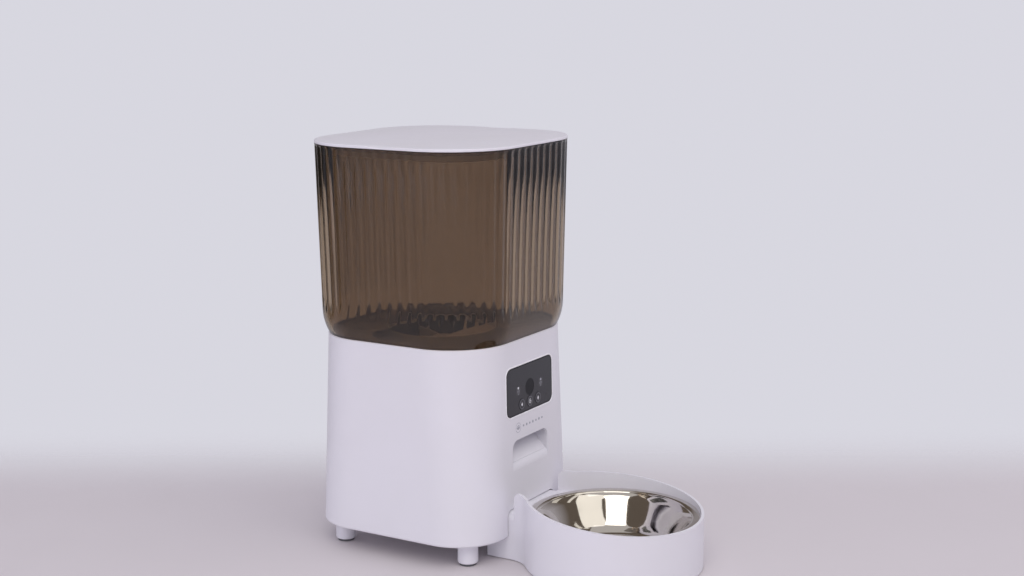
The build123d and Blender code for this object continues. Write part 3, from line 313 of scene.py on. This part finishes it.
# The deck shows dark through the hopper, and the chute is moulded in the housing's own white.
OWN_FINISH = {"deck": "deck_dark", "chute": "white_shell"}
for part in frame["record"]["subparts"]:
    mesh = NODES[part["node"]].data
    mesh.materials.clear()
    finish = OWN_FINISH.get(part["node"], part["material_slot"])
    mesh.materials.append(FINISHES[finish].material)


# ---------------------------------------------------------------- mesh helpers
def piece(name, points, faces, finish, body, smooth_angle=40):
    """Makes a piece from points and faces, smooth but for its sharp edges, riding on a body."""
    mesh = bpy.data.meshes.new(name)
    mesh.from_pydata([tuple(p) for p in points], [], faces)
    work = bmesh.new()
    work.from_mesh(mesh)
    bmesh.ops.recalc_face_normals(work, faces=work.faces)
    work.to_mesh(mesh)
    work.free()
    mesh.materials.append(FINISHES[finish].material)
    mesh.shade_smooth()
    mesh.set_sharp_from_angle(angle=math.radians(smooth_angle))
    made = bpy.data.objects.new(name, mesh)
    SCENE.collection.objects.link(made)
    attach(made, body)
    return made


def loft(rings, around=False):
    """Points and faces through closed rings of equal length; around joins the last to the first."""
    count = len(rings[0])
    points = [p for ring in rings for p in ring]
    faces = []
    for k in range(len(rings) if around else len(rings) - 1):
        low, high = k * count, (k + 1) % len(rings) * count
        for i in range(count):
            j = (i + 1) % count
            faces.append((low + i, low + j, high + j, high + i))
    return points, faces


def rim_loop(half_x, half_y, radius, count):
    """(x, y, normal x, normal y) evenly spaced round a rounded rectangle, from the middle of +X."""
    length = half_y - radius + math.pi * radius / 2 + half_x - radius
    loop = []
    for i in range(count // 4 + 1):
        s = length * i / (count // 4)
        if s <= half_y - radius:
            loop.append((half_x, s, 1.0, 0.0))
        elif s <= half_y - radius + math.pi * radius / 2:
            a = (s - half_y + radius) / radius
            nx, ny = math.cos(a), math.sin(a)
            loop.append((half_x - radius + radius * nx, half_y - radius + radius * ny, nx, ny))
        else:
            loop.append((length - s, half_y, 0.0, 1.0))
    second = [(-x, y, -nx, ny) for x, y, nx, ny in reversed(loop[:-1])]
    upper = loop + second
    lower = [(x, -y, nx, -ny) for x, y, nx, ny in reversed(upper[1:-1])]
    return upper + lower


def drawn_in(loop, insets, height):
    """A level ring: the loop moved inwards by one inset, or by one for each point."""
    if not isinstance(insets, list):
        insets = [insets] * len(loop)
    return [
        (x - e * nx, BODY_Y + y - e * ny, height) for (x, y, nx, ny), e in zip(loop, insets)
    ]


# ---------------------------------------------------------------- hopper
RIM_HALF_X = (hopper_high.x - hopper_low.x) / 2
RIM_HALF_Y = (hopper_high.y - hopper_low.y) / 2
RIM_RADIUS = 63 * MM
FLUTES = 64
STEPS = 12
WALL = 2.5 * MM
DRAFT = 4.0 * MM
TUCK = 6.8 * MM
BELT = 14.0 * MM
BELLY = 45.0 * MM
FOOT_ROUND = 4.0 * MM
SEAM = housing_high.z + 0.3 * MM
PLUG_INSET = 12.1 * MM
THROAT = 50 * MM
FLUTE_DEPTH = 1.1 * MM
FLUTE_FOOT = 213 * MM
FLUTE_TIP = 13 * MM
FLUTE_HEAD = 3 * MM
FLUTE_LEVELS = (340 * MM, 300 * MM, 260 * MM, 234 * MM)
HEAD_STEP = 1.5 * MM
TIP_RINGS = 12
INNER_LEVEL = 260 * MM
BELLY_STEPS = 10
FOOT_STEPS = 5
EDGE = 0.5 * MM

loop = rim_loop(RIM_HALF_X, RIM_HALF_Y, RIM_RADIUS, FLUTES * STEPS)
rim_z, foot_z = hopper_high.z, hopper_low.z
belt_z = foot_z + BELT


def draft(height):
    """How far the straight wall has drawn in at a height."""
    return DRAFT * (rim_z - height) / (rim_z - belt_z)


def flute(i, height):
    """Depth of the flutes, which fade out under the lid and end below in pointed arches."""
    wave = 0.5 - 0.5 * math.cos(2 * math.pi * i / STEPS)
    arch = (height - FLUTE_FOOT) / FLUTE_TIP
    head = min(1.0, (rim_z - height) / FLUTE_HEAD)
    return FLUTE_DEPTH * head * max(0.0, min(wave, wave - 1 + arch))


def fluted(height):
    """A ring of the outer wall with its flutes."""
    return drawn_in(loop, [draft(height) + flute(i, height) for i in range(len(loop))], height)


def throat_ring(radius, height):
    """A ring round the throat, point for point with the rim's."""
    ring = []
    for x, y, _, _ in loop:
        reach = math.hypot(x, y)
        ring.append((radius * x / reach, BODY_Y + radius * y / reach, height))
    return ring


def rounded_corner(before, corner, after, radius, steps):
    """Points of the arc that rounds a corner of a profile."""
    back, on = (before - corner).normalized(), (after - corner).normalized()
    half = back.angle(on) / 2
    centre = corner + (back + on).normalized() * radius / math.sin(half)
    start = (corner + back * radius / math.tan(half) - centre).normalized()
    end = (corner + on * radius / math.tan(half) - centre).normalized()
    return [centre + start.slerp(end, k / steps) * radius for k in range(steps + 1)]


def belly(inset):
    """The lower profile, as (inset, height): the wall curves in, then rounds into the floor."""
    rim = Vector((inset, rim_z))
    belt = Vector((DRAFT + inset, belt_z))
    foot = Vector((DRAFT + TUCK + inset, foot_z + inset))
    floor = foot + Vector((THROAT, 0))
    curve = rounded_corner(rim, belt, foot, BELLY - inset, BELLY_STEPS)
    return curve + rounded_corner(belt, foot, floor, FOOT_ROUND - inset, FOOT_STEPS)


def seated(profile):
    """The same profile stepped in below the seam, where it drops into the housing's rim."""
    above = [p for p in profile if p.y > SEAM]
    below = [p for p in profile if p.y <= SEAM]
    share = (above[-1].y - SEAM) / (above[-1].y - below[0].y)
    seam = above[-1].lerp(below[0], share)
    step = Vector((PLUG_INSET, SEAM))
    return above + [seam, step] + [p for p in below if p.x > PLUG_INSET]


outer = seated(belly(0.0))
inner = belly(WALL)
rings = [drawn_in(loop, EDGE, rim_z), drawn_in(loop, EDGE * 0.15, rim_z - EDGE * 0.5)]
rings += [fluted(rim_z - HEAD_STEP * k) for k in (1, 2)]
rings += [fluted(z) for z in FLUTE_LEVELS]
rings += [fluted(FLUTE_FOOT + FLUTE_TIP * k / (TIP_RINGS - 1)) for k in range(TIP_RINGS, 0, -1)]
rings += [drawn_in(loop, e, z) for e, z in outer if z < FLUTE_FOOT]
rings += [throat_ring(THROAT + EDGE, foot_z), throat_ring(THROAT, foot_z + EDGE)]
rings += [throat_ring(THROAT, foot_z + WALL - EDGE), throat_ring(THROAT + EDGE, foot_z + WALL)]
rings += [drawn_in(loop, e, z) for e, z in reversed(inner)]
rings += [drawn_in(loop, draft(z) + WALL, z) for z in (INNER_LEVEL, rim_z - EDGE)]
rings.append(drawn_in(loop, WALL - EDGE, rim_z))
points, faces = loft(rings, around=True)
hopper = piece("hopper_tub", points, faces, "smoked_hopper", "hopper", 50)
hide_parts("hopper")

# ---------------------------------------------------------------- lid
LID_EDGE = 0.7 * MM
CROWN = lid_high.z
CROWN_REACH = 62 * MM
PLATE_GAP = 0.3 * MM
PLATE_UNDER = rim_z + PLATE_GAP
PLATE_EDGE = 364.8 * MM
EDGE_STEPS = 4
TOP_INSETS = [k * MM for k in (1.5, 2.2, 3, 4, 5, 6.5)] + [k * 6 * MM for k in range(2, 11)]
SKIRT_OUTSIDE = 5.6 * MM
SKIRT_INSIDE = 7.6 * MM
NOTCH_HALF = 13.5 * MM
NOTCH_DEPTH = 1.3 * MM
NOTCH_REACH = 5.0 * MM
LID_SIDES = 512

lid_loop = rim_loop(RIM_HALF_X, RIM_HALF_Y, RIM_RADIUS, LID_SIDES)


def crown(inset):
    """Height of the lid's top: a long soft dome from the edge inwards."""
    t = min(1.0, inset / CROWN_REACH)
    return PLATE_EDGE + (CROWN - PLATE_EDGE) * math.sin(t * math.pi / 2)


def lid_ring(inset, height):
    """A ring of the lid's top, with a shallow finger dent in the middle of both side edges."""
    ring = []
    for (_, y, nx, _), (px, py, pz) in zip(lid_loop, drawn_in(lid_loop, inset, height)):
        along = max(0.0, 1 - (y / NOTCH_HALF) ** 2) if abs(nx) > 0.99 else 0.0
        ring.append((px, py, pz - NOTCH_DEPTH * along * max(0.0, 1 - inset / NOTCH_REACH)))
    return ring


rings = [drawn_in(lid_loop, SKIRT_INSIDE, z) for z in (PLATE_UNDER, lid_low.z + EDGE)]
rings += [drawn_in(lid_loop, e, lid_low.z) for e in (SKIRT_INSIDE - EDGE, SKIRT_OUTSIDE + EDGE)]
rings += [drawn_in(lid_loop, SKIRT_OUTSIDE, z) for z in (lid_low.z + EDGE, PLATE_UNDER)]
rings.append(drawn_in(lid_loop, PLATE_GAP, PLATE_UNDER))
rings.append(drawn_in(lid_loop, 0, PLATE_UNDER + PLATE_GAP))
for k in range(EDGE_STEPS + 1):
    a = math.radians(90 * k / EDGE_STEPS)
    height = PLATE_EDGE - LID_EDGE + LID_EDGE * math.sin(a)
    rings.append(lid_ring(LID_EDGE * (1 - math.cos(a)), height))
rings += [lid_ring(e, crown(e)) for e in TOP_INSETS]
rings += [
    [(x * k, BODY_Y + (y - BODY_Y) * k, CROWN) for x, y, _ in rings[-1]] for k in (0.7, 0.35)
]
points, faces = loft(rings)
points += [(0, BODY_Y, CROWN), (0, BODY_Y, PLATE_UNDER)]
last = (len(rings) - 1) * len(lid_loop)
for i in range(len(lid_loop)):
    j = (i + 1) % len(lid_loop)
    faces.append((last + i, last + j, len(points) - 2))
    faces.append((j, i, len(points) - 1))
lid = piece("lid_plate", points, faces, "white_shell", "lid")
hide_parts("lid")

# ---------------------------------------------------------------- steel bowl
BOWL_SIDES = 160
BOWL_FLOOR = bowl_low.z
MIDDLE_INSIDE = 0.85
MIDDLE_OUTSIDE = 0.05
# Profiles as (radius, rise above the bowl's floor) in millimetres.
INSIDE = [
    (70.2, 35.8), (68.9, 35.6), (67.9, 35.0), (67.2, 34.0), (64.4, 29.0), (60.6, 22.0),
    (57.0, 15.4), (54.6, 11.2), (52.0, 7.6), (48.6, 4.6), (44.6, 2.4), (40.4, 1.3),
    (36.0, 1.0), (34.6, 1.15), (33.4, 1.15), (32.0, 1.0), (20.0, 0.9), (6.0, MIDDLE_INSIDE),
]
FLANGE = [(74.0, 35.8), (74.6, 35.6), (74.85, 35.2), (74.85, 34.4), (74.5, 34.0), (74.0, 34.0)]
OUTSIDE = [
    (70.4, 34.9), (68.4, 34.6), (67.0, 33.8), (63.8, 28.2), (60.0, 21.2), (56.4, 14.6),
    (53.8, 10.4), (51.4, 7.0), (48.2, 3.9), (44.4, 1.6), (40.4, 0.5), (36.0, 0.2),
    (20.0, 0.1), (6.0, MIDDLE_OUTSIDE),
]


def bowl_ring(radius, rise):
    """A ring of the bowl at a radius and a rise above its floor, both in millimetres."""
    turn = [2 * math.pi * i / BOWL_SIDES for i in range(BOWL_SIDES)]
    return [
        (radius * MM * math.cos(a), BOWL_Y + radius * MM * math.sin(a), BOWL_FLOOR + rise * MM)
        for a in turn
    ]


rings = [bowl_ring(r, z) for r, z in INSIDE[::-1] + FLANGE + OUTSIDE]
points, faces = loft(rings)
points += [(0, BOWL_Y, BOWL_FLOOR + z * MM) for z in (MIDDLE_INSIDE, MIDDLE_OUTSIDE)]
last = (len(rings) - 1) * BOWL_SIDES
for i in range(BOWL_SIDES):
    j = (i + 1) % BOWL_SIDES
    faces.append((j, i, len(points) - 2))
    faces.append((last + i, last + j, len(points) - 1))
bowl = piece("steel_bowl", points, faces, "steel", "bowl", 60)
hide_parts("bowl")

# ---------------------------------------------------------------- marks on the front
MARK_THICK = 0.06
TINY = 0.02


def on_face(u, v, proud):
    """A point on the leaning front face: u to the right of the middle, v its height, in mm."""
    lean = -PRESS.z / PRESS.y
    y = housing_low.y + (v * MM - housing_low.z) * lean
    return Vector((u * MM, y, v * MM)) + FACE_OUT * proud * MM


def mark(name, bands, middle, proud, body, finish):
    """Thin printed marks. Each band is two outlines, outer and inner, of (u, v) in mm."""
    points, faces = [], []
    for outer, inner, closed in bands:
        count, base = len(outer), len(points)
        for rise in (proud, proud + MARK_THICK):
            for line in (outer, inner):
                points += [on_face(middle[0] + u, middle[1] + v, rise) for u, v in line]
        a, b, c, d = base, base + count, base + 2 * count, base + 3 * count
        for i in range(count if closed else count - 1):
            j = (i + 1) % count
            faces.append((c + i, c + j, d + j, d + i))
            faces.append((a + i, b + i, b + j, a + j))
            faces.append((a + i, a + j, c + j, c + i))
            faces.append((b + j, b + i, d + i, d + j))
        if not closed:
            for i in (0, count - 1):
                faces.append((a + i, b + i, d + i, c + i))
    made = piece(name, points, faces, finish, body, 30)
    return made


def arc_band(radius, width, start=0.0, end=360.0, at=(0, 0), squash=1.0, sides=32):
    """A band along an arc. A width as large as the radius makes a disc or a slice."""
    closed = end - start >= 360
    turns = [math.radians(start + (end - start) * i / sides) for i in range(sides + (not closed))]
    lines = []
    for r in (radius, max(radius - width, TINY)):
        lines.append([(at[0] + r * math.cos(a), at[1] + squash * r * math.sin(a)) for a in turns])
    return lines[0], lines[1], closed


def bar(start, end, width):
    """A straight band from one point to another."""
    run = Vector(end) - Vector(start)
    side = Vector((-run.y, run.x)).normalized() * width / 2
    a, b = Vector(start), Vector(end)
    return [tuple(a + side), tuple(b + side)], [tuple(a - side), tuple(b - side)], False


DROP_STEPS = 16
DROP_SAG = 1.35
DROP_FULLNESS = 0.9


def drop(radius, tip, at=(0, 0)):
    """A drop: a round foot drawn up to a point."""
    left, right = [], []
    for i in range(DROP_STEPS + 1):
        t = i / DROP_STEPS
        width = TINY
        if 0 < t < 1:
            width = radius * math.sin(math.pi * t**DROP_SAG) ** DROP_FULLNESS
        v = tip - (tip + radius) * t
        left.append((at[0] - width, at[1] + v))
        right.append((at[0] + width, at[1] + v))
    return left, right, False


def middle_of(node):
    """The middle of a node as seen on the front face: (u, v) in millimetres."""
    low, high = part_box(node)
    return (low.x + high.x) / 2 / MM, (low.z + high.z) / 2 / MM


TRIM_SIDES = 256


def frame_loop(name, grow, radius, profile, finish):
    """A thin band round the panel, coloured as a painted highlight or as painted shade. The profile is (outwards
    from the panel's edge, proud) in mm.
    """
    low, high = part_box("control_panel")
    middle = middle_of("control_panel")
    half_x, half_y = (high.x - low.x) / 2 / MM, (high.z - low.z) / 2 / MM
    path = rim_loop(half_x + grow, half_y + grow, radius + grow, TRIM_SIDES)
    rings = [
        [on_face(middle[0] + x + e * nx, middle[1] + y + e * ny, proud) for e, proud in profile]
        for x, y, nx, ny in path
    ]
    made = piece(name, *loft(rings, around=True), finish, "base")


PANEL_ROUND = 6.5
BEAD_OUT = 0.95
BEAD = [(-0.6, -0.3), (-0.6, 0.1), (-0.35, 0.32), (0, 0.4), (0.35, 0.32), (0.6, 0.1), (0.6, -0.3)]
LINE_OUT = -0.5
LINE = [(-0.35, 0.01), (-0.3, 0.07), (0.3, 0.07), (0.35, 0.01)]
# The pale bead round the panel is coloured as a painted highlight of its lit edge.
frame_loop("panel_rim_painted_highlight", BEAD_OUT, PANEL_ROUND, BEAD, "bright_edge")
# The black line just inside the panel's edge is painted shade of the gap round the panel.
frame_loop("panel_gap_shade", LINE_OUT, PANEL_ROUND, LINE, "border_black")

# Symbols on the buttons, drawn in millimetres from each button's middle.
BUTTON_PROUD = 0.4
RING_RADIUS = 4.3
RING_WIDTH = 0.34
button_marks = {
    "feed": [drop(1.25, 2.2, (0, -0.4))],
    "record": [arc_band(2.1, 0.55, 60, 330), arc_band(0.8, 0.8, at=(0.9, 0))],
    "settings": [drop(1.3, 2.4, (0, -0.4)), arc_band(2.4, 0.25, 250, 290)],
}
for label, bands in button_marks.items():
    spot = middle_of(label + "_button")
    ring = [arc_band(RING_RADIUS, RING_WIDTH, sides=48)]
    body, slot = label + "_button", "button_black"
    mark(label + "_ring", ring, spot, BUTTON_PROUD, body, "print_dim")
    mark(label + "_mark", bands, spot, BUTTON_PROUD, body, "print_white")

# A status dot over a small signal symbol, on both sides of the camera.
PRINT_PROUD = 0.02
STATUS_U = 19.5
STATUS_V = 148.0
STATUS_DOT = [arc_band(1.1, 1.1, at=(0, 2.5))]
SIGNAL = [
    arc_band(1.3, 0.4, 30, 150, at=(0, -2.6)),
    arc_band(2.4, 0.4, 35, 145, at=(0, -2.8)),
    arc_band(3.5, 0.4, 40, 140, at=(0, -3.0)),
    arc_band(0.6, 0.6, at=(0, -3.0)),
]
for side, label, finish in ((-1, "left", "print_white"), (1, "right", "print_grey")):
    spot = (side * STATUS_U, STATUS_V)
    mark("status_dot_" + label, STATUS_DOT, spot, PRINT_PROUD, "base", finish)
    mark("status_mark_" + label, SIGNAL, spot, PRINT_PROUD, "base", "print_dim")

# A generic print between the panel and the outlet: a bowl with food in a ring, and a row of kibble.
EMBLEM_V = 115.2
EMBLEM_U = -20.5
EMBLEM = [
    arc_band(4.4, 0.35, sides=56),
    arc_band(2.6, 2.6, 180, 360, at=(0, 0.1), squash=0.75),
    bar((-3.0, 0.35), (3.0, 0.35), 0.4),
    arc_band(0.6, 0.6, at=(-1.2, 1.3)),
    arc_band(0.6, 0.6, at=(0.1, 1.7)),
    arc_band(0.6, 0.6, at=(1.3, 1.3)),
]
KIBBLE_U = -11.5
KIBBLE_PITCH = 5.4
KIBBLE_RADIUS = 1.25
KIBBLE = [
    arc_band(KIBBLE_RADIUS, KIBBLE_RADIUS, at=(k * KIBBLE_PITCH, 0), squash=0.75 + 0.25 * (k % 2))
    for k in range(7)
]
for name, bands, u in (("emblem_bowl", EMBLEM, EMBLEM_U), ("emblem_kibble", KIBBLE, KIBBLE_U)):
    mark(name, bands, (u, EMBLEM_V), PRINT_PROUD, "base", "print_grey")

# ---------------------------------------------------------------- camera
AIM = math.radians(30.92)
DIP = math.radians(10.62)
ROLL = math.radians(-0.22)
LENS = 58.71
SENSOR = 36
EYE = Vector((-1.23811, BODY_Y - 0.81311, 0.50537))
camera_data = bpy.data.cameras.new("camera")
camera_data.sensor_width = SENSOR
camera_data.lens = LENS
camera = bpy.data.objects.new("camera", camera_data)
SCENE.collection.objects.link(camera)
ahead = Vector((math.cos(AIM) * math.cos(DIP), math.sin(AIM) * math.cos(DIP), -math.sin(DIP)))
level = Vector((math.sin(AIM), -math.cos(AIM), 0))
upright = level.cross(ahead)
right = level * math.cos(ROLL) + upright * math.sin(ROLL)
up = upright * math.cos(ROLL) - level * math.sin(ROLL)
turn = Matrix((right, up, -ahead)).transposed().to_4x4()
camera.matrix_world = Matrix.Translation(EYE) @ turn
SCENE.camera = camera

# ---------------------------------------------------------------- floor, room and lights
forward = Vector((math.cos(AIM), math.sin(AIM), 0))
FLOOR_EDGE = 1.85
FADE = 0.30
FLOOR_SIDE = 6.0
eye = Vector((camera.location.x, camera.location.y, 0))
floor_mesh = bpy.data.meshes.new("floor")
far_left = eye + forward * FLOOR_EDGE - level * FLOOR_SIDE
far_right = eye + forward * FLOOR_EDGE + level * FLOOR_SIDE
near_right = eye - forward * FLOOR_SIDE + level * FLOOR_SIDE
near_left = eye - forward * FLOOR_SIDE - level * FLOOR_SIDE
floor_mesh.from_pydata([far_left, far_right, near_right, near_left], [], [(3, 2, 1, 0)])
floor = bpy.data.objects.new("floor", floor_mesh)
SCENE.collection.objects.link(floor)
FLOOR = Surface("floor_paper", (0.70, 0.655, 0.675), 0.6).mottled(3, 0.01).smudged(20, 0.05)
FLOOR.set(Specular_IOR_Level=0.2)
FLOOR.fades_along(forward, eye.dot(forward) + FLOOR_EDGE, FADE)
floor_mesh.materials.append(FLOOR.material)

# The camera sees a pale wall, and shiny surfaces a room that is pale low on its right.
WALL_COLOUR = (0.685, 0.680, 0.745, 1)
ROOM_DARK = (0.13, 0.105, 0.085, 1)
ROOM_PALE = (0.62, 0.60, 0.66, 1)
ROOM_SOFT = (0.55, 0.54, 0.62, 1)
PALE_SIDE = (0.75, -0.2, -1.0)
PALE_FROM = 0.75
room = bpy.data.worlds.new("room")
SCENE.world = room
room.use_nodes = True
room_nodes, room_links = room.node_tree.nodes, room.node_tree.links
room_nodes.clear()
seen = room_nodes.new("ShaderNodeBackground")
seen.inputs["Color"].default_value = WALL_COLOUR
lit = room_nodes.new("ShaderNodeBackground")
direction = room_nodes.new("ShaderNodeTexCoord")
dot = room_nodes.new("ShaderNodeVectorMath")
dot.operation = "DOT_PRODUCT"
dot.inputs[1].default_value = PALE_SIDE
room_links.new(direction.outputs["Generated"], dot.inputs[0])
ramp = room_nodes.new("ShaderNodeValToRGB")
room_links.new(dot.outputs["Value"], ramp.inputs["Fac"])
ramp.color_ramp.elements[0].position = 0.0
ramp.color_ramp.elements[0].color = ROOM_DARK
ramp.color_ramp.elements[1].position = PALE_FROM
ramp.color_ramp.elements[1].color = ROOM_PALE
room_links.new(ramp.outputs["Color"], lit.inputs["Color"])
path = room_nodes.new("ShaderNodeLightPath")
soft = room_nodes.new("ShaderNodeBackground")
soft.inputs["Color"].default_value = ROOM_SOFT
by_gloss = room_nodes.new("ShaderNodeMixShader")
room_links.new(path.outputs["Is Glossy Ray"], by_gloss.inputs["Fac"])
room_links.new(soft.outputs["Background"], by_gloss.inputs[1])
room_links.new(lit.outputs["Background"], by_gloss.inputs[2])
straight = room_nodes.new("ShaderNodeMath")
straight.operation = "MAXIMUM"
room_links.new(path.outputs["Is Camera Ray"], straight.inputs[0])
room_links.new(path.outputs["Is Transmission Ray"], straight.inputs[1])
by_sight = room_nodes.new("ShaderNodeMixShader")
room_links.new(straight.outputs["Value"], by_sight.inputs["Fac"])
room_links.new(by_gloss.outputs["Shader"], by_sight.inputs[1])
room_links.new(seen.outputs["Background"], by_sight.inputs[2])
room_out = room_nodes.new("ShaderNodeOutputWorld")
room_links.new(by_sight.outputs["Shader"], room_out.inputs["Surface"])

LIT_POINT = Vector((0, 0, 0.15))


def lamp(name, bearing, height, distance, size, power, colour=(1, 1, 1)):
    """A soft rectangular lamp; bearing is degrees to the right of the camera's line of sight."""
    data = bpy.data.lights.new(name, "AREA")
    data.shape = "RECTANGLE"
    data.size, data.size_y = size
    data.energy = power
    data.color = colour
    made = bpy.data.objects.new(name, data)
    SCENE.collection.objects.link(made)
    a, e = math.radians(bearing), math.radians(height)
    away = -forward * math.cos(a) + level * math.sin(a)
    spot = LIT_POINT + (away * math.cos(e) + Vector((0, 0, math.sin(e)))) * distance
    made.location = spot
    made.rotation_mode = "QUATERNION"
    made.rotation_quaternion = (spot - LIT_POINT).to_track_quat("Z", "Y")
    made.visible_camera = False
    return made


WINDOW_LIGHT = (1.0, 0.97, 0.89)
WINDOW_RISE = 44
WINDOW_DISTANCE = 2.6
WINDOW_HEIGHT = 1.35
# Bearing, width and power of each window.
WINDOWS = ((-6, 1.45, 14.0), (44, 1.75, 8.0), (80, 0.25, 0.8), (112, 0.5, 1.2))
for number, (bearing, width, power) in enumerate(WINDOWS):
    size = (width, WINDOW_HEIGHT)
    lamp(f"window_{number}", bearing, WINDOW_RISE, WINDOW_DISTANCE, size, power, WINDOW_LIGHT)
lamp("overhead", 10, 84, 2.4, (2.4, 2.4), 7.5)
low_fill = lamp("low_fill", -35, 1, 2.2, (2.6, 0.3), 6.5, (0.84, 0.88, 1.0))
low_fill.visible_glossy = False

SCENE.view_settings.view_transform = "Standard"

# ---------------------------------------------------------------- the end
bpy.context.view_layer.update()
